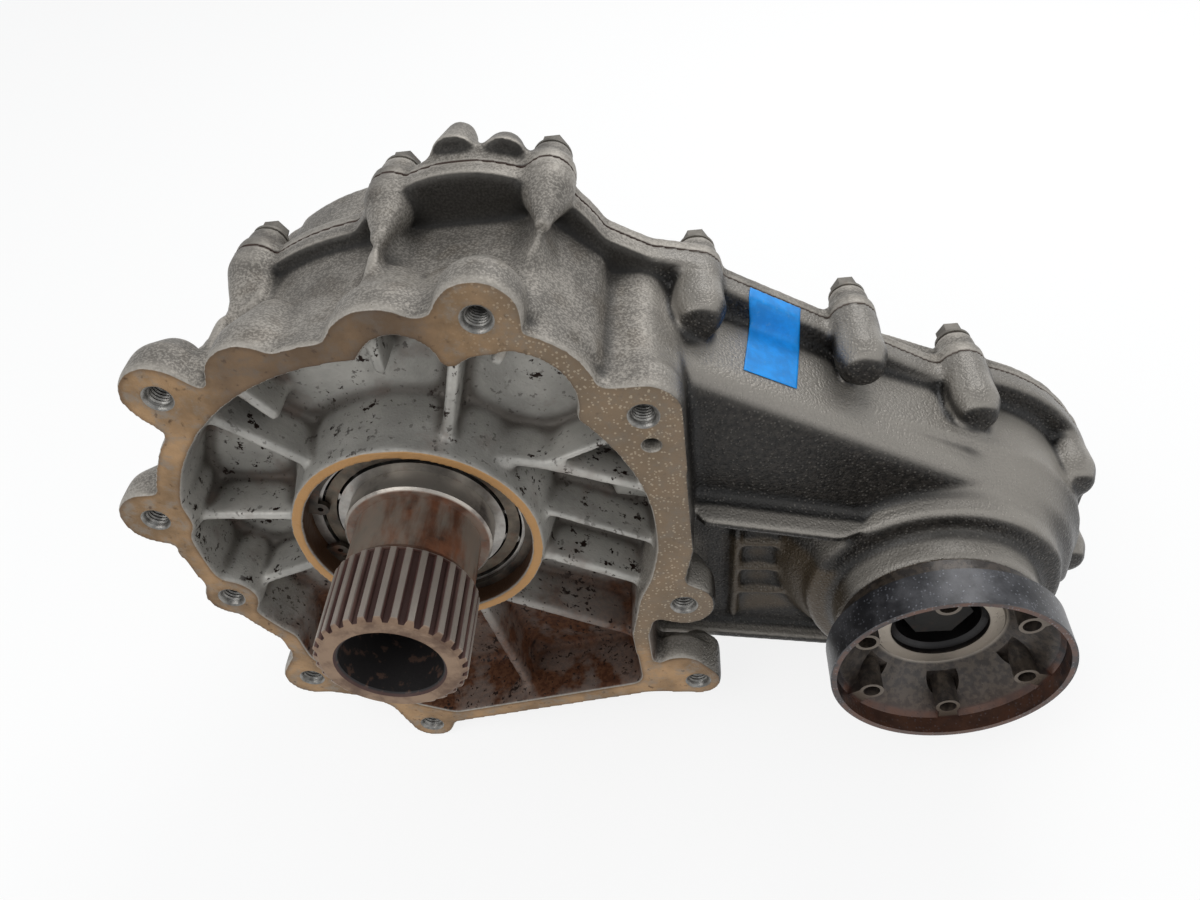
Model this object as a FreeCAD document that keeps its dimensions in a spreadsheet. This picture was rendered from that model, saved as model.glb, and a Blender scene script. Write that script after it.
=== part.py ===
import FreeCAD, Part
import math
import os
import re
from types import SimpleNamespace

import Sketcher
from FreeCAD import Vector

# Transfer case of a permanent all-wheel drive: a two-piece cast housing, a planetary centre
# differential on the input axis and a chain down to the front output.
# Frame: +Z up, +Y rearwards, origin on the input axis at the machined front face of the bearing boss.
# All sizes are in millimetres and live in the Sizes sheet.

doc = FreeCAD.newDocument("TransferCase")
sheet = doc.addObject("Spreadsheet::Sheet", "Sizes")

SIZES = [
    # axes of the case: front output and the round crown above the input
    ("out_x", 246.8), ("out_z", -83.4), ("crown_x", 39.2), ("crown_z", 77.5), ("layout_unit", 100),
    # castings: depths along Y
    ("seam_y", 90), ("web_front", 34), ("web_back", 45), ("lug_depth", 16), ("lug_tail", 14),
    ("lip_depth", 11), ("rear_lip_depth", 8), ("rib_set_back", 9), ("rib_wall", 5.5),
    ("case_front", 45), ("bulge_front", 28),
    ("cavity_front", 54), ("ledge_front", 19), ("rim_front", 37), ("panel_rib", 5),
    # castings: radii and walls
    ("main_radius", 120.5), ("waist_radius", 113), ("pocket_radius", 110.5), ("crown_radius", 36.5),
    ("crown_lip_radius", 66.3), ("end_lip_radius", 93.5), ("end_radius", 77), ("cavity_radius", 104),
    ("end_cavity_radius", 69), ("bulge_fillet", 13), ("tower_radius", 12.5),
    ("tower_seam_radius", 11), ("tower_back_radius", 9.6), ("tower_front", 62), ("tower_tip", 10),
    ("case_wall", 7),
    # bell flange holes
    ("bell_hole_radius", 5.1), ("bell_hole_depth", 22), ("bell_hole_chamfer", 1.6),
    ("pin_hole_radius", 4), ("pin_hole_depth", 14),
    # bearing boss round the input shaft
    ("boss_radius", 60), ("boss_root_radius", 65), ("boss_land", 8), ("mouth_radius", 53.7),
    ("mouth_depth", 9.8),
    ("ring_groove_radius", 56), ("ring_width", 2.4), ("ring_inner_radius", 49.5),
    ("seat_shoulder_radius", 47), ("input_seal_width", 8), ("snap_ring_gap_angle", 28),
    # input shaft
    ("spline_teeth", 30), ("spline_tip_radius", 33), ("spline_root_radius", 30.6), ("spline_front", -69.2),
    ("spline_back", -31), ("neck_radius", 29.8), ("input_bore_radius", 22.6), ("input_bore_back", 20),
    ("collar_front", 0.5), ("input_journal_radius", 35), ("seal_land_radius", 32), ("stub_radius", 20),
    # bearings: outer and inner radius, width
    ("input_bearing_outer", 53), ("input_bearing_width", 19),
    ("front_bearing_outer", 40), ("front_bearing_inner", 20), ("front_bearing_width", 18),
    ("tail_bearing_outer", 31), ("tail_bearing_inner", 15), ("tail_bearing_width", 14),
    ("rear_bearing_outer", 42.5), ("rear_bearing_inner", 22.5), ("rear_bearing_width", 19),
    ("race_wall", 5), ("roller_count", 14), ("roller_gap", 0.05), ("roller_set_in", 3),
    # planetary differential
    ("gear_module", 2.25), ("sun_teeth", 24), ("planet_teeth", 18), ("planet_count", 3),
    ("gear_backlash", 0.14), ("gear_width", 18), ("gear_front", 99), ("gear_rim", 6), ("carrier_radius", 60),
    ("carrier_plate", 5), ("planet_pin_radius", 5), ("carrier_gap", 1), ("running_gap", 0.06),
    # chain drive
    ("sprocket_teeth", 26), ("chain_links_per_run", 20), ("sprocket_front", 61), ("sprocket_width", 20),
    ("sprocket_tooth_height", 3), ("chain_plate", 3.5), ("chain_depth", 8), ("chain_gap", 0.35),
    ("sleeve_radius", 24.5),
    # front output
    ("out_boss_front", 8), ("out_collar_front", 0), ("out_boss_radius", 50.5),
    ("nose_bevel", 1.5), ("out_collar_bore", 45),
    ("out_seal_radius", 39), ("out_seal_width", 9),
    ("flange_front", -30.9), ("flange_radius", 57), ("flange_rim_back", -12), ("flange_lip", 3),
    ("flange_back_radius", 50), ("flange_back", -1),
    ("flange_hub_radius", 26), ("flange_seat_radius", 32), ("flange_turn", 96),
    ("flange_bore_radius", 24), ("flange_bore_back", 14), ("flange_pcd", 86), ("flange_holes", 6),
    ("flange_hole_radius", 4.25), ("flange_boss_radius", 8.5), ("flange_boss_front", -22.8),
    ("out_shaft_radius", 16), ("out_thread_radius", 11), ("nut_radius", 18), ("nut_height", 9),
    # rear casting and rear output
    ("rear_case_back", 138), ("rear_end_back", 114), ("rear_cone_back", 158), ("rear_boss_radius", 55),
    ("rear_boss_back", 186), ("rear_seal_radius", 37), ("rear_seal_width", 9), ("rear_hub_radius", 27),
    ("rear_flange_back", 214), ("rear_flange_disc", 11), ("rear_flange_radius", 56), ("rear_flange_pcd", 88),
    ("rear_flange_holes", 4), ("rear_flange_hole_radius", 5.25), ("rear_shaft_radius", 19),
    ("foot_bottom", -177.3), ("foot_front", 112), ("foot_back", 150), ("foot_hole_radius", 5.1),
    # fasteners and small parts
    ("bolt_radius", 4), ("bolt_head_radius", 7), ("bolt_head_height", 8), ("bolt_washer_radius", 9),
    ("bolt_washer_height", 1.6), ("bolt_reach", 22), ("bolt_seat", 110), ("dowel_radius", 4.5),
    ("dowel_half_length", 9), ("plug_radius", 9), ("plug_head_radius", 13), ("plug_head_height", 7),
    ("plug_length", 8), ("fit_gap", 0.02),
    ("breather_x", 205), ("breather_z", -10), ("breather_seat", 118), ("breather_back", 127),
    ("breather_stem", 4), ("breather_cap", 7.5),
]
for row, (alias, value) in enumerate(SIZES, start=1):
    sheet.set("A%d" % row, alias)
    sheet.set("B%d" % row, str(value))
    sheet.setAlias("B%d" % row, alias)
doc.recompute()

ALIASES = {alias for alias, _ in SIZES}
S = SimpleNamespace(**{alias: float(sheet.get(alias)) for alias in ALIASES})
NODES = []


# ---------------------------------------------------------------- helpers


def bound(text):
    """An expression in sheet aliases, written for setExpression."""
    return re.sub(r"[a-z_]+", lambda word: "Sizes." + word.group(0) if word.group(0) in ALIASES
                  else word.group(0), text)


def number(text):
    """The value of an expression in sheet aliases."""
    return float(sheet.evalExpression(bound(text)))


def node(thing, label):
    thing.Label = label
    NODES.append(thing)
    return thing


def shape_node(label, shape):
    """A sub-part whose form is worked out here from the sheet's values."""
    thing = doc.addObject("Part::Feature", label)
    thing.Shape = shape
    return node(thing, label)


def profile_sketch(body, name, points, plane="XY_Plane"):
    """A closed sketch whose corners are each held to an (across, along) pair of expressions."""
    sketch = body.newObject("Sketcher::SketchObject", name)
    origin_plane = [f for f in body.Origin.OriginFeatures if f.Role == plane][0]
    sketch.AttachmentSupport = [(origin_plane, "")]
    sketch.MapMode = "FlatFace"
    corners = [Vector(number(across), number(along), 0) for across, along in points]
    for i, corner in enumerate(corners):
        sketch.addGeometry(Part.LineSegment(corner, corners[(i + 1) % len(corners)]))
    for i in range(len(corners)):
        sketch.addConstraint(Sketcher.Constraint("Coincident", i, 2, (i + 1) % len(corners), 1))
    for i, (across, along) in enumerate(points):
        for kind, text, here, axis in (("DistanceX", across, corners[i].x, -2),
                                       ("DistanceY", along, corners[i].y, -1)):
            if text == "0":
                sketch.addConstraint(Sketcher.Constraint("PointOnObject", i, 1, axis))
                continue
            held = sketch.addConstraint(Sketcher.Constraint(kind, -1, 1, i, 1, here))
            sketch.setExpression("Constraints[%d]" % held, bound(text))
    return sketch


def turned_body(label, points, axis="input"):
    """A piece turned about the input axis or the front output axis from (radius, y) corners."""
    body = doc.addObject("PartDesign::Body", label)
    sketch = profile_sketch(body, label + "_profile", points)
    turn = body.newObject("PartDesign::Revolution", label + "_turned")
    turn.Profile = sketch
    turn.ReferenceAxis = (sketch, ["V_Axis"])
    turn.Angle = 360
    if axis == "output":
        body.setExpression(".Placement.Base.x", bound("out_x"))
        body.setExpression(".Placement.Base.z", bound("out_z"))
    return body


def turned(label, points, axis="input"):
    return node(turned_body(label, points, axis), label)


def ring_profile(inner, outer, front, back):
    return [(inner, front), (outer, front), (outer, back), (inner, back)]


def disc(x, z, radius, front, back):
    return Part.makeCylinder(radius, back - front, Vector(x, front, z), Vector(0, 1, 0))


def cone(x, z, front_radius, back_radius, front, back):
    return Part.makeCone(front_radius, back_radius, back - front, Vector(x, front, z), Vector(0, 1, 0))


def limb(x1, z1, r1, x2, z2, r2, front, back):
    """Prism along Y over the tangent hull of two circles."""
    gap = math.hypot(x2 - x1, z2 - z1)
    if gap <= abs(r1 - r2) + 0.01:
        return disc(x1, z1, r1, front, back) if r1 > r2 else disc(x2, z2, r2, front, back)
    line = math.atan2(z2 - z1, x2 - x1)
    lean = math.acos((r1 - r2) / gap)

    def at(x, z, r, angle):
        return Vector(x + r * math.cos(angle), front, z + r * math.sin(angle))

    upper, lower = line + lean, line - lean
    edges = [
        Part.LineSegment(at(x1, z1, r1, upper), at(x2, z2, r2, upper)).toShape(),
        Part.Arc(at(x2, z2, r2, upper), at(x2, z2, r2, line), at(x2, z2, r2, lower)).toShape(),
        Part.LineSegment(at(x2, z2, r2, lower), at(x1, z1, r1, lower)).toShape(),
        Part.Arc(at(x1, z1, r1, lower), at(x1, z1, r1, line + math.pi), at(x1, z1, r1, upper)).toShape(),
    ]
    return Part.Face(Part.Wire(edges)).extrude(Vector(0, back - front, 0))


def plate(points, front, back):
    """Prism along Y over an outline of (x, z, corner radius) points."""
    edges = []
    start = None
    first = None
    count = len(points)
    for i, (x, z, corner) in enumerate(points):
        here = Vector(x, front, z)
        before = Vector(points[i - 1][0], front, points[i - 1][1]) - here
        after = Vector(points[(i + 1) % count][0], front, points[(i + 1) % count][1]) - here
        before.normalize()
        after.normalize()
        half = before.getAngle(after) / 2
        if corner > 0 and abs(half - math.pi / 2) > 0.01:
            run = corner / math.tan(half)
            middle = before + after
            middle.normalize()
            depth = corner / math.sin(half) - corner
            enter, leave = here + before * run, here + after * run
            arc = Part.Arc(enter, here + middle * depth, leave).toShape()
        else:
            enter, leave, arc = here, here, None
        if start is not None:
            edges.append(Part.LineSegment(start, enter).toShape())
        if first is None:
            first = enter
        if arc is not None:
            edges.append(arc)
        start = leave
    edges.append(Part.LineSegment(start, first).toShape())
    return Part.Face(Part.Wire(edges)).extrude(Vector(0, back - front, 0))


def fin(inner, outer, front, back, wall, drop=0.0):
    """Straight rib from one (x, z) to another; its outer end falls away by drop at the front."""
    run = Vector(outer[0] - inner[0], 0, outer[1] - inner[1])
    along = Vector(run).normalize()
    side = Vector(-along.z, 0, along.x) * (wall / 2)
    base = Vector(inner[0], 0, inner[1]) - side
    corners = [base + Vector(0, front, 0), base + run - along * drop + Vector(0, front, 0),
               base + run + Vector(0, back, 0), base + Vector(0, back, 0)]
    return Part.Face(Part.makePolygon(corners + corners[:1])).extrude(side * 2)


def gear_outline(teeth, root, pitch, tip, half_angle, lean, front):
    """Closed wire of straight-sided teeth: half_angle is a tooth's half width at the pitch circle."""
    corners = []
    for tooth in range(int(teeth)):
        middle = 2 * math.pi * tooth / teeth
        for radius, offset in ((root, -half_angle[0]), (pitch, -half_angle[1]), (tip, -half_angle[2]),
                               (tip, half_angle[2]), (pitch, half_angle[1]), (root, half_angle[0])):
            angle = middle + offset + lean
            corners.append(Vector(radius * math.cos(angle), front, radius * math.sin(angle)))
    return Part.makePolygon(corners + corners[:1])


def involute_half_angles(teeth, module, radii, backlash, internal=False):
    """Half width angle of an involute tooth (20 degree pressure angle) at each radius."""
    pressure = math.radians(20)
    pitch = teeth * module / 2
    base = pitch * math.cos(pressure)

    def inv(angle):
        return math.tan(angle) - angle

    halves = []
    for radius in radii:
        grip = math.acos(min(1.0, base / radius))
        swing = inv(pressure) - inv(grip)
        half = math.pi / (2 * teeth)
        half = half - swing if internal else half + swing
        halves.append(half - backlash / radius)
    return halves


def lathe(points, x, z):
    """Solid turned about an axis along Y at (x, z) from (radius, y) corners."""
    corners = [Vector(x + radius, y, z) for radius, y in points]
    face = Part.Face(Part.makePolygon(corners + corners[:1]))
    return face.revolve(Vector(x, 0, z), Vector(0, 1, 0), 360)


def ring_of(count, radius, x, z, start=0.0):
    """Centres spaced evenly on a circle."""
    turns = [start + 2 * math.pi * k / int(count) for k in range(int(count))]
    return [(x + radius * math.cos(turn), z + radius * math.sin(turn), turn) for turn in turns]


def boss(grown, front, back):
    """The bearing boss: a cylindrical land at its mouth, then a slight taper to the web."""
    return disc(0, 0, S.boss_radius + grown, front, S.boss_land).fuse(
        cone(0, 0, S.boss_radius + grown, S.boss_root_radius + grown, S.boss_land, back))


def fused(shapes):
    """Union of many shapes, a few at a time: castings have too many near-touching faces for one go."""
    result = shapes[0]
    for k in range(1, len(shapes), 4):
        result = result.fuse(shapes[k:k + 4])
    return result.removeSplitter()


# ---------------------------------------------------------------- layout shared by both castings

# The lists below are drawn in hundredths of layout_unit, from the input axis or from the output axis.
UNIT = S.layout_unit / 100


def laid_out(rows, x=0.0, z=0.0):
    """Rows that start with a place (x, z) about an axis, brought to size and moved to that axis."""
    return [(x + row[0] * UNIT, z + row[1] * UNIT) + tuple(size * UNIT for size in row[2:]) for row in rows]


# Lugs of the bell flange, each with its threaded hole: (x, z, lug radius).
LUGS = laid_out([
    (-85.3, 97.9, 17), (-120.5, 25.2, 17.5), (-107.9, -35.8, 14), (-91.1, -110.9, 16), (-35.3, -164.2, 13.1),
    (123.9, -128.9, 12.8), (121.2, -60.3, 16), (113.9, 68.9, 17.3), (56, 124.3, 18),
])
PIN_HOLE = laid_out([(115.5, 52)])[0]
# Bolt towers along the seam; a rib runs forward from each of the first three to the bell flange.
RIBBED_TOWERS = laid_out([(-67, 101), (8, 130), (78, 130)])
TOWERS = RIBBED_TOWERS + laid_out([
    (139, 74), (104, -112), (44, -115), (-18, -122), (-80, -93), (-119, -33), (-116, 41),
]) + laid_out([
    (-35, 122), (20.2, 87.4), (74, 36), (81, -25), (14, -80.6), (-68.8, -55.6),
], S.out_x, S.out_z)
# Round humps of the bell's rim, as pairs of discs: (x, z, radius, x, z, radius).
RIM_HUMPS = laid_out([(-43, 103, 19, -38, 80, 19), (15, 110, 24, 12, 80, 24), (36, 112, 16, 40, 90, 16)])
LOW_LUG_ARMS = laid_out([(-35.3, -164.2, 13.1, -37, -135, 19), (123.9, -128.9, 12.8, 92, -125, 13)])
# Skirt under the bell, with the notch between its two right-hand lugs: (x, z, corner radius).
SKIRT = laid_out([
    (-90, -40, 0), (-96, -64, 8), (-95, -88, 8), (-103, -106, 6), (-90, -125, 6), (-64, -134, 8),
    (-51, -148, 8), (-44, -163.4, 4), (-20, -163.4, 4), (102, -138, 2), (102, -84, 5), (112, -50, 0),
])
SKIRT_POCKET = laid_out([
    (-78, -40, 0), (-86, -62, 8), (-84, -92, 8), (-72, -118, 8), (-52, -125, 6), (-38, -142, 6),
    (-18, -152, 4), (93, -128, 6), (92, -84, 6), (100, -50, 0),
])
POCKET_CENTRE = laid_out([(1.5, -2)])[0]
POCKET_LOBES = laid_out([(60, 80, 27.5), (20, 103, 16.5)])
FLANK = laid_out([(60, 86, 0), (117, 86, 13), (131, 70, 10), (129, -20, 8), (121, -52, 6), (60, -52, 0)])
# Flat deck on top, between the bell's rim and the joint flange.
DECK = laid_out([(-8, 95, 0), (0, 118.5, 4), (74, 118.5, 12), (98, 95, 8), (98, 80, 0), (0, 80, 0)])
# Straight ledge across the front of the chain case, where the upper bulge ends.
LEDGE = laid_out([(118, -9)]) + laid_out([(27.2, 31.4)], S.out_x, S.out_z)
BULGE = laid_out([(92, -7, 0), (92, 90.5, 0)]) + laid_out([
    (75, 40.6, 75), (75, -20, 0), (23.2, 31.4, 0)], S.out_x, S.out_z)
BULGE_HOLLOW = laid_out([(104, 2, 0), (104, 82, 8)]) + laid_out([
    (15.2, 65.4, 40), (43.2, 33.4, 4), (15.2, 43.4, 0)], S.out_x, S.out_z)
# Flat top of the joint flange beside the crown, up to the first tower of the slope.
SHELF = laid_out([(118, 81.5, 11, 139, 75, 12)])[0]
# Casting ribs in the bell, from the boss outwards: (x, z) to (x, z).
BELL_RIBS = laid_out([
    (26, 55, 42, 106), (-40, 44, -80, 80), (-58, 11, -113, 16), (-57, -23, -100, -38), (45, 40, 66, 34),
    (66, 34, 117, 12), (54, -27, 106, -56), (25, -58, 94, -98), (14, -60, 26, -145), (-24, -57, -62, -122),
])
THIN_BELL_RIBS = laid_out([(66, 34, 103, 49), (60, 4, 112, -24)])
# Recessed panel under the ledge: upright bars (x, top, bottom) and the rungs between them.
PANEL_UPRIGHTS = laid_out([(151, -46, -128), (192, -58, -128)])
PANEL_RUNGS = [z * UNIT for z in (-64, -84, -104)]
LOWER_RIM = laid_out([(100, -60, 0), (100, -200, 0)]) + laid_out([
    (83.2, -116.6, 0), (83.2, -56.6, 0)], S.out_x, S.out_z)
DOWELS = laid_out([(-108.7, 29.1)]) + laid_out([(50, 64)], S.out_x, S.out_z)


def lip_region(front, back):
    """The joint flange of the seam, the same on both castings."""
    ox, oz = S.out_x, S.out_z
    parts = [
        disc(0, 0, S.main_radius, front, back),
        disc(S.crown_x, S.crown_z, S.crown_lip_radius, front, back),
        limb(S.crown_x, S.crown_z, S.crown_lip_radius - 11.3, ox, oz, S.end_radius + 5, front, back),
        limb(*SHELF, front, back),
        limb(0, 0, S.main_radius - 2, ox, oz, S.end_radius + 7, front, back),
        disc(ox, oz, S.end_lip_radius, front, back),
    ]
    for x, z in TOWERS:
        parts.append(disc(x, z, S.tower_seam_radius + 1, front, back))
    return parts


def chain_hollow(front, back):
    return limb(0, 0, S.main_radius - 36, S.out_x, S.out_z, S.end_cavity_radius, front, back)


# ---------------------------------------------------------------- front housing

# Places along Y where the bearings seat, shared by castings, bearings and shafts.
INPUT_SEAT = "mouth_depth + ring_width"
FRONT_SEAT = "out_boss_front + out_seal_width + 4"
TAIL_SEAT = "rear_end_back + 6 - tail_bearing_width"
REAR_SEAT = "rear_boss_back - 19 - rear_bearing_width"


def bell_outer():
    """The bell: drum, crown, skirt, flank and lugs, before its pocket is taken out."""
    parts = [
        cone(0, 0, S.main_radius, S.waist_radius, 0, S.web_back),
        cone(62 * UNIT, 81 * UNIT, S.crown_radius, S.crown_radius - 8, 0, S.web_back),
        plate(SKIRT, 0, S.web_back),
        plate(FLANK, 0, S.seam_y),
        plate(DECK, S.lug_depth - 4, S.seam_y),
    ]
    for hump in RIM_HUMPS:
        x, z, radius = hump[:3]
        parts.append(limb(*hump, 0, S.lug_depth))
        parts.append(cone(x, z, radius, radius / 2, S.lug_depth, S.web_back))
    for arm in LOW_LUG_ARMS:
        parts.append(limb(*arm, 0, S.lug_depth + 8))
    for x, z, r in LUGS:
        reach = 0.8
        if z < -120 * UNIT:
            reach = 0.93
        parts.append(limb(x, z, r, x * reach, z * reach, r + 2, 0, S.lug_depth))
        parts.append(cone(x, z, r, r * 0.55, S.lug_depth, S.lug_depth + S.lug_tail))
    return fused(parts)


def bell_pocket():
    hollow = fused([
        disc(*POCKET_CENTRE, S.pocket_radius, -1, S.web_front),
        plate(SKIRT_POCKET, -1, S.web_front),
    ] + [disc(x, z, radius, -1, S.web_front) for x, z, radius in POCKET_LOBES])
    keep = [disc(x, z, r + 0.5, -2, S.web_front + 1) for x, z, r in LUGS]
    keep.append(limb(*PIN_HOLE, 10, LUGS[-2][0], LUGS[-2][1], 16, -2, S.web_front + 1))
    keep.append(boss(0, -2, S.web_front + 1))
    return hollow.cut(keep)


def output_nose():
    """Stepped nose of the chain case round the front output: collar, round rim and shoulder."""
    rim = (S.out_boss_radius + S.end_radius) / 2
    collar, shoulder, bevel = S.out_collar_front, S.rim_front, S.nose_bevel
    return lathe([
        (0, collar), (S.out_boss_radius - bevel, collar), (S.out_boss_radius, collar + bevel),
        (S.out_boss_radius, collar + 12), (S.out_boss_radius + bevel, collar + 15),
        (rim - 2 * bevel, collar + 16), (rim, collar + 16 + 2 * bevel), (rim, collar + 25),
        (rim + bevel, collar + 27), (S.end_radius - 4 * bevel, shoulder - 3),
        (S.end_radius, shoulder + 6), (S.end_radius, S.case_front + 3), (0, S.case_front + 3),
    ], S.out_x, S.out_z)


def front_case():
    """Chain case and upper bulge behind the bell flange."""
    ox, oz = S.out_x, S.out_z
    bulge = plate(BULGE, S.bulge_front, S.seam_y)
    edges = [e for e in bulge.Edges if abs(e.CenterOfMass.y - S.bulge_front) < 0.01][1:4]
    bulge = bulge.makeFillet(S.bulge_fillet, edges)
    case = limb(0, 0, S.waist_radius, ox, oz, S.end_radius + 3, S.case_front, S.seam_y)
    rim = limb(0, 0, S.waist_radius, ox, oz, S.end_radius + 3, S.rim_front, S.case_front + 1)
    rim = rim.cut(limb(0, 0, S.waist_radius - 7, ox, oz, S.end_radius - 4, S.rim_front - 1, S.case_front + 1))
    rim = rim.common(plate(LOWER_RIM, S.rim_front - 1, S.case_front + 1))
    parts = [
        disc(0, 0, S.waist_radius, S.web_back - 1, S.seam_y),
        case, rim, bulge, output_nose(),
        disc(ox, oz, S.end_radius, S.case_front, S.seam_y),
        fin(*LEDGE, S.ledge_front, S.case_front + 1, S.rib_wall + 1),
    ]
    for x, top, bottom in PANEL_UPRIGHTS:
        parts.append(fin((x, top), (x - 6, bottom), S.case_front - S.panel_rib, S.case_front + 1, 4))
    left, right = PANEL_UPRIGHTS[0][0] - 3, PANEL_UPRIGHTS[1][0] - 4
    for z in PANEL_RUNGS:
        parts.append(fin((left, z), (right, z - 5), S.case_front - S.panel_rib, S.case_front + 1, 4))
    return parts


def front_housing_shape():
    ox, oz = S.out_x, S.out_z
    bell = bell_outer().cut(bell_pocket())
    parts = [bell] + front_case() + lip_region(S.seam_y - S.lip_depth, S.seam_y)
    parts.append(boss(0, 0, S.web_front + 1))
    parts.append(disc(0, 0, S.boss_root_radius, S.web_front, S.web_back + 2))
    for wall, ribs in ((S.rib_wall, BELL_RIBS), (S.rib_wall - 2, THIN_BELL_RIBS)):
        for x1, z1, x2, z2 in ribs:
            parts.append(fin((x1, z1), (x2, z2), S.rib_set_back, S.web_front + 1, wall))
    nose = S.tower_front - S.tower_tip
    for x, z in TOWERS:
        parts.append(cone(x, z, S.tower_radius, S.tower_seam_radius, S.tower_front, S.seam_y))
        parts.append(cone(x, z, S.tower_radius * 0.7, S.tower_radius, nose, S.tower_front))
    for x, z in RIBBED_TOWERS:
        outward = (math.hypot(x, z) + S.tower_radius * 0.55) / math.hypot(x, z)
        fall = math.hypot(x, z) * outward - S.main_radius - 5
        parts.append(fin((x * 0.7, z * 0.7), (x * outward, z * outward), S.lug_depth - 4,
                         S.seam_y - S.lip_depth, S.rib_wall, fall))
    casting = fused(parts)

    # hollow inside, then everything that is bored from the front
    hollow = fused([
        disc(0, 0, S.cavity_radius, S.web_back - 3, S.seam_y + 1).cut(
            disc(0, 0, S.boss_radius - 3, S.web_back - 4, S.web_back + 2)),
        chain_hollow(S.cavity_front, S.seam_y + 1),
        plate(BULGE_HOLLOW, S.bulge_front + S.case_wall, S.seam_y + 1),
    ])
    seat_front = S.mouth_depth + S.ring_width
    seat_back = seat_front + S.input_bearing_width
    bores = [
        hollow,
        disc(0, 0, S.mouth_radius, -1, S.mouth_depth + 0.01),
        disc(0, 0, S.ring_groove_radius, S.mouth_depth, seat_front),
        disc(0, 0, S.input_bearing_outer, seat_front - 0.01, seat_back),
        disc(0, 0, S.seat_shoulder_radius - 4, seat_back - 0.01, seat_back + 3.01),
        disc(0, 0, S.seat_shoulder_radius, seat_back + 3, S.web_back + 3),
        disc(ox, oz, S.out_collar_bore, S.out_collar_front - 1, S.out_boss_front),
        disc(ox, oz, S.out_seal_radius, S.out_boss_front - 1, S.out_boss_front + S.out_seal_width),
        disc(ox, oz, S.out_seal_radius - 5, S.out_boss_front, S.out_boss_front + S.out_seal_width + 4),
        disc(ox, oz, S.front_bearing_outer, number(FRONT_SEAT), S.cavity_front + 1),
    ]
    for x, z, _ in LUGS:
        bores.append(disc(x, z, S.bell_hole_radius, -1, S.bell_hole_depth))
        bores.append(cone(x, z, S.bell_hole_radius + S.bell_hole_chamfer + 0.1, S.bell_hole_radius, -0.1,
                          S.bell_hole_chamfer))
    bores.append(disc(*PIN_HOLE, S.pin_hole_radius, -1, S.pin_hole_depth))
    for x, z in TOWERS:
        bores.append(disc(x, z, S.bolt_radius, S.seam_y - S.bolt_reach - 2, S.seam_y + 1))
    for x, z in DOWELS:
        bores.append(disc(x, z, S.dowel_radius, S.seam_y - S.dowel_half_length - S.fit_gap, S.seam_y + 1))
    return casting.cut(bores)


front_housing = shape_node("front_housing", front_housing_shape())


# ---------------------------------------------------------------- rear housing

SMALL_RIB_ANGLES = [20, 62, 100, 140, 180, 220, 258, 318]
FOOT = [(-34 * UNIT, -96 * UNIT, 0), (-26 * UNIT, S.foot_bottom, 4), (22 * UNIT, S.foot_bottom, 4),
        (40 * UNIT, -96 * UNIT, 0)]
FOOT_HOLES = [-14 * UNIT, 10 * UNIT]
FILL_PLUG, DRAIN_PLUG = laid_out([(-78.8, 41.4), (-70.8, -34.6)], S.out_x, S.out_z)
# Cast humps behind the crown: (x, z, front radius, back radius, reach behind the seam).
REAR_HUMPS = laid_out([(37, 140, 12, 7, 32), (58, 137, 12, 8, 22)])


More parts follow.
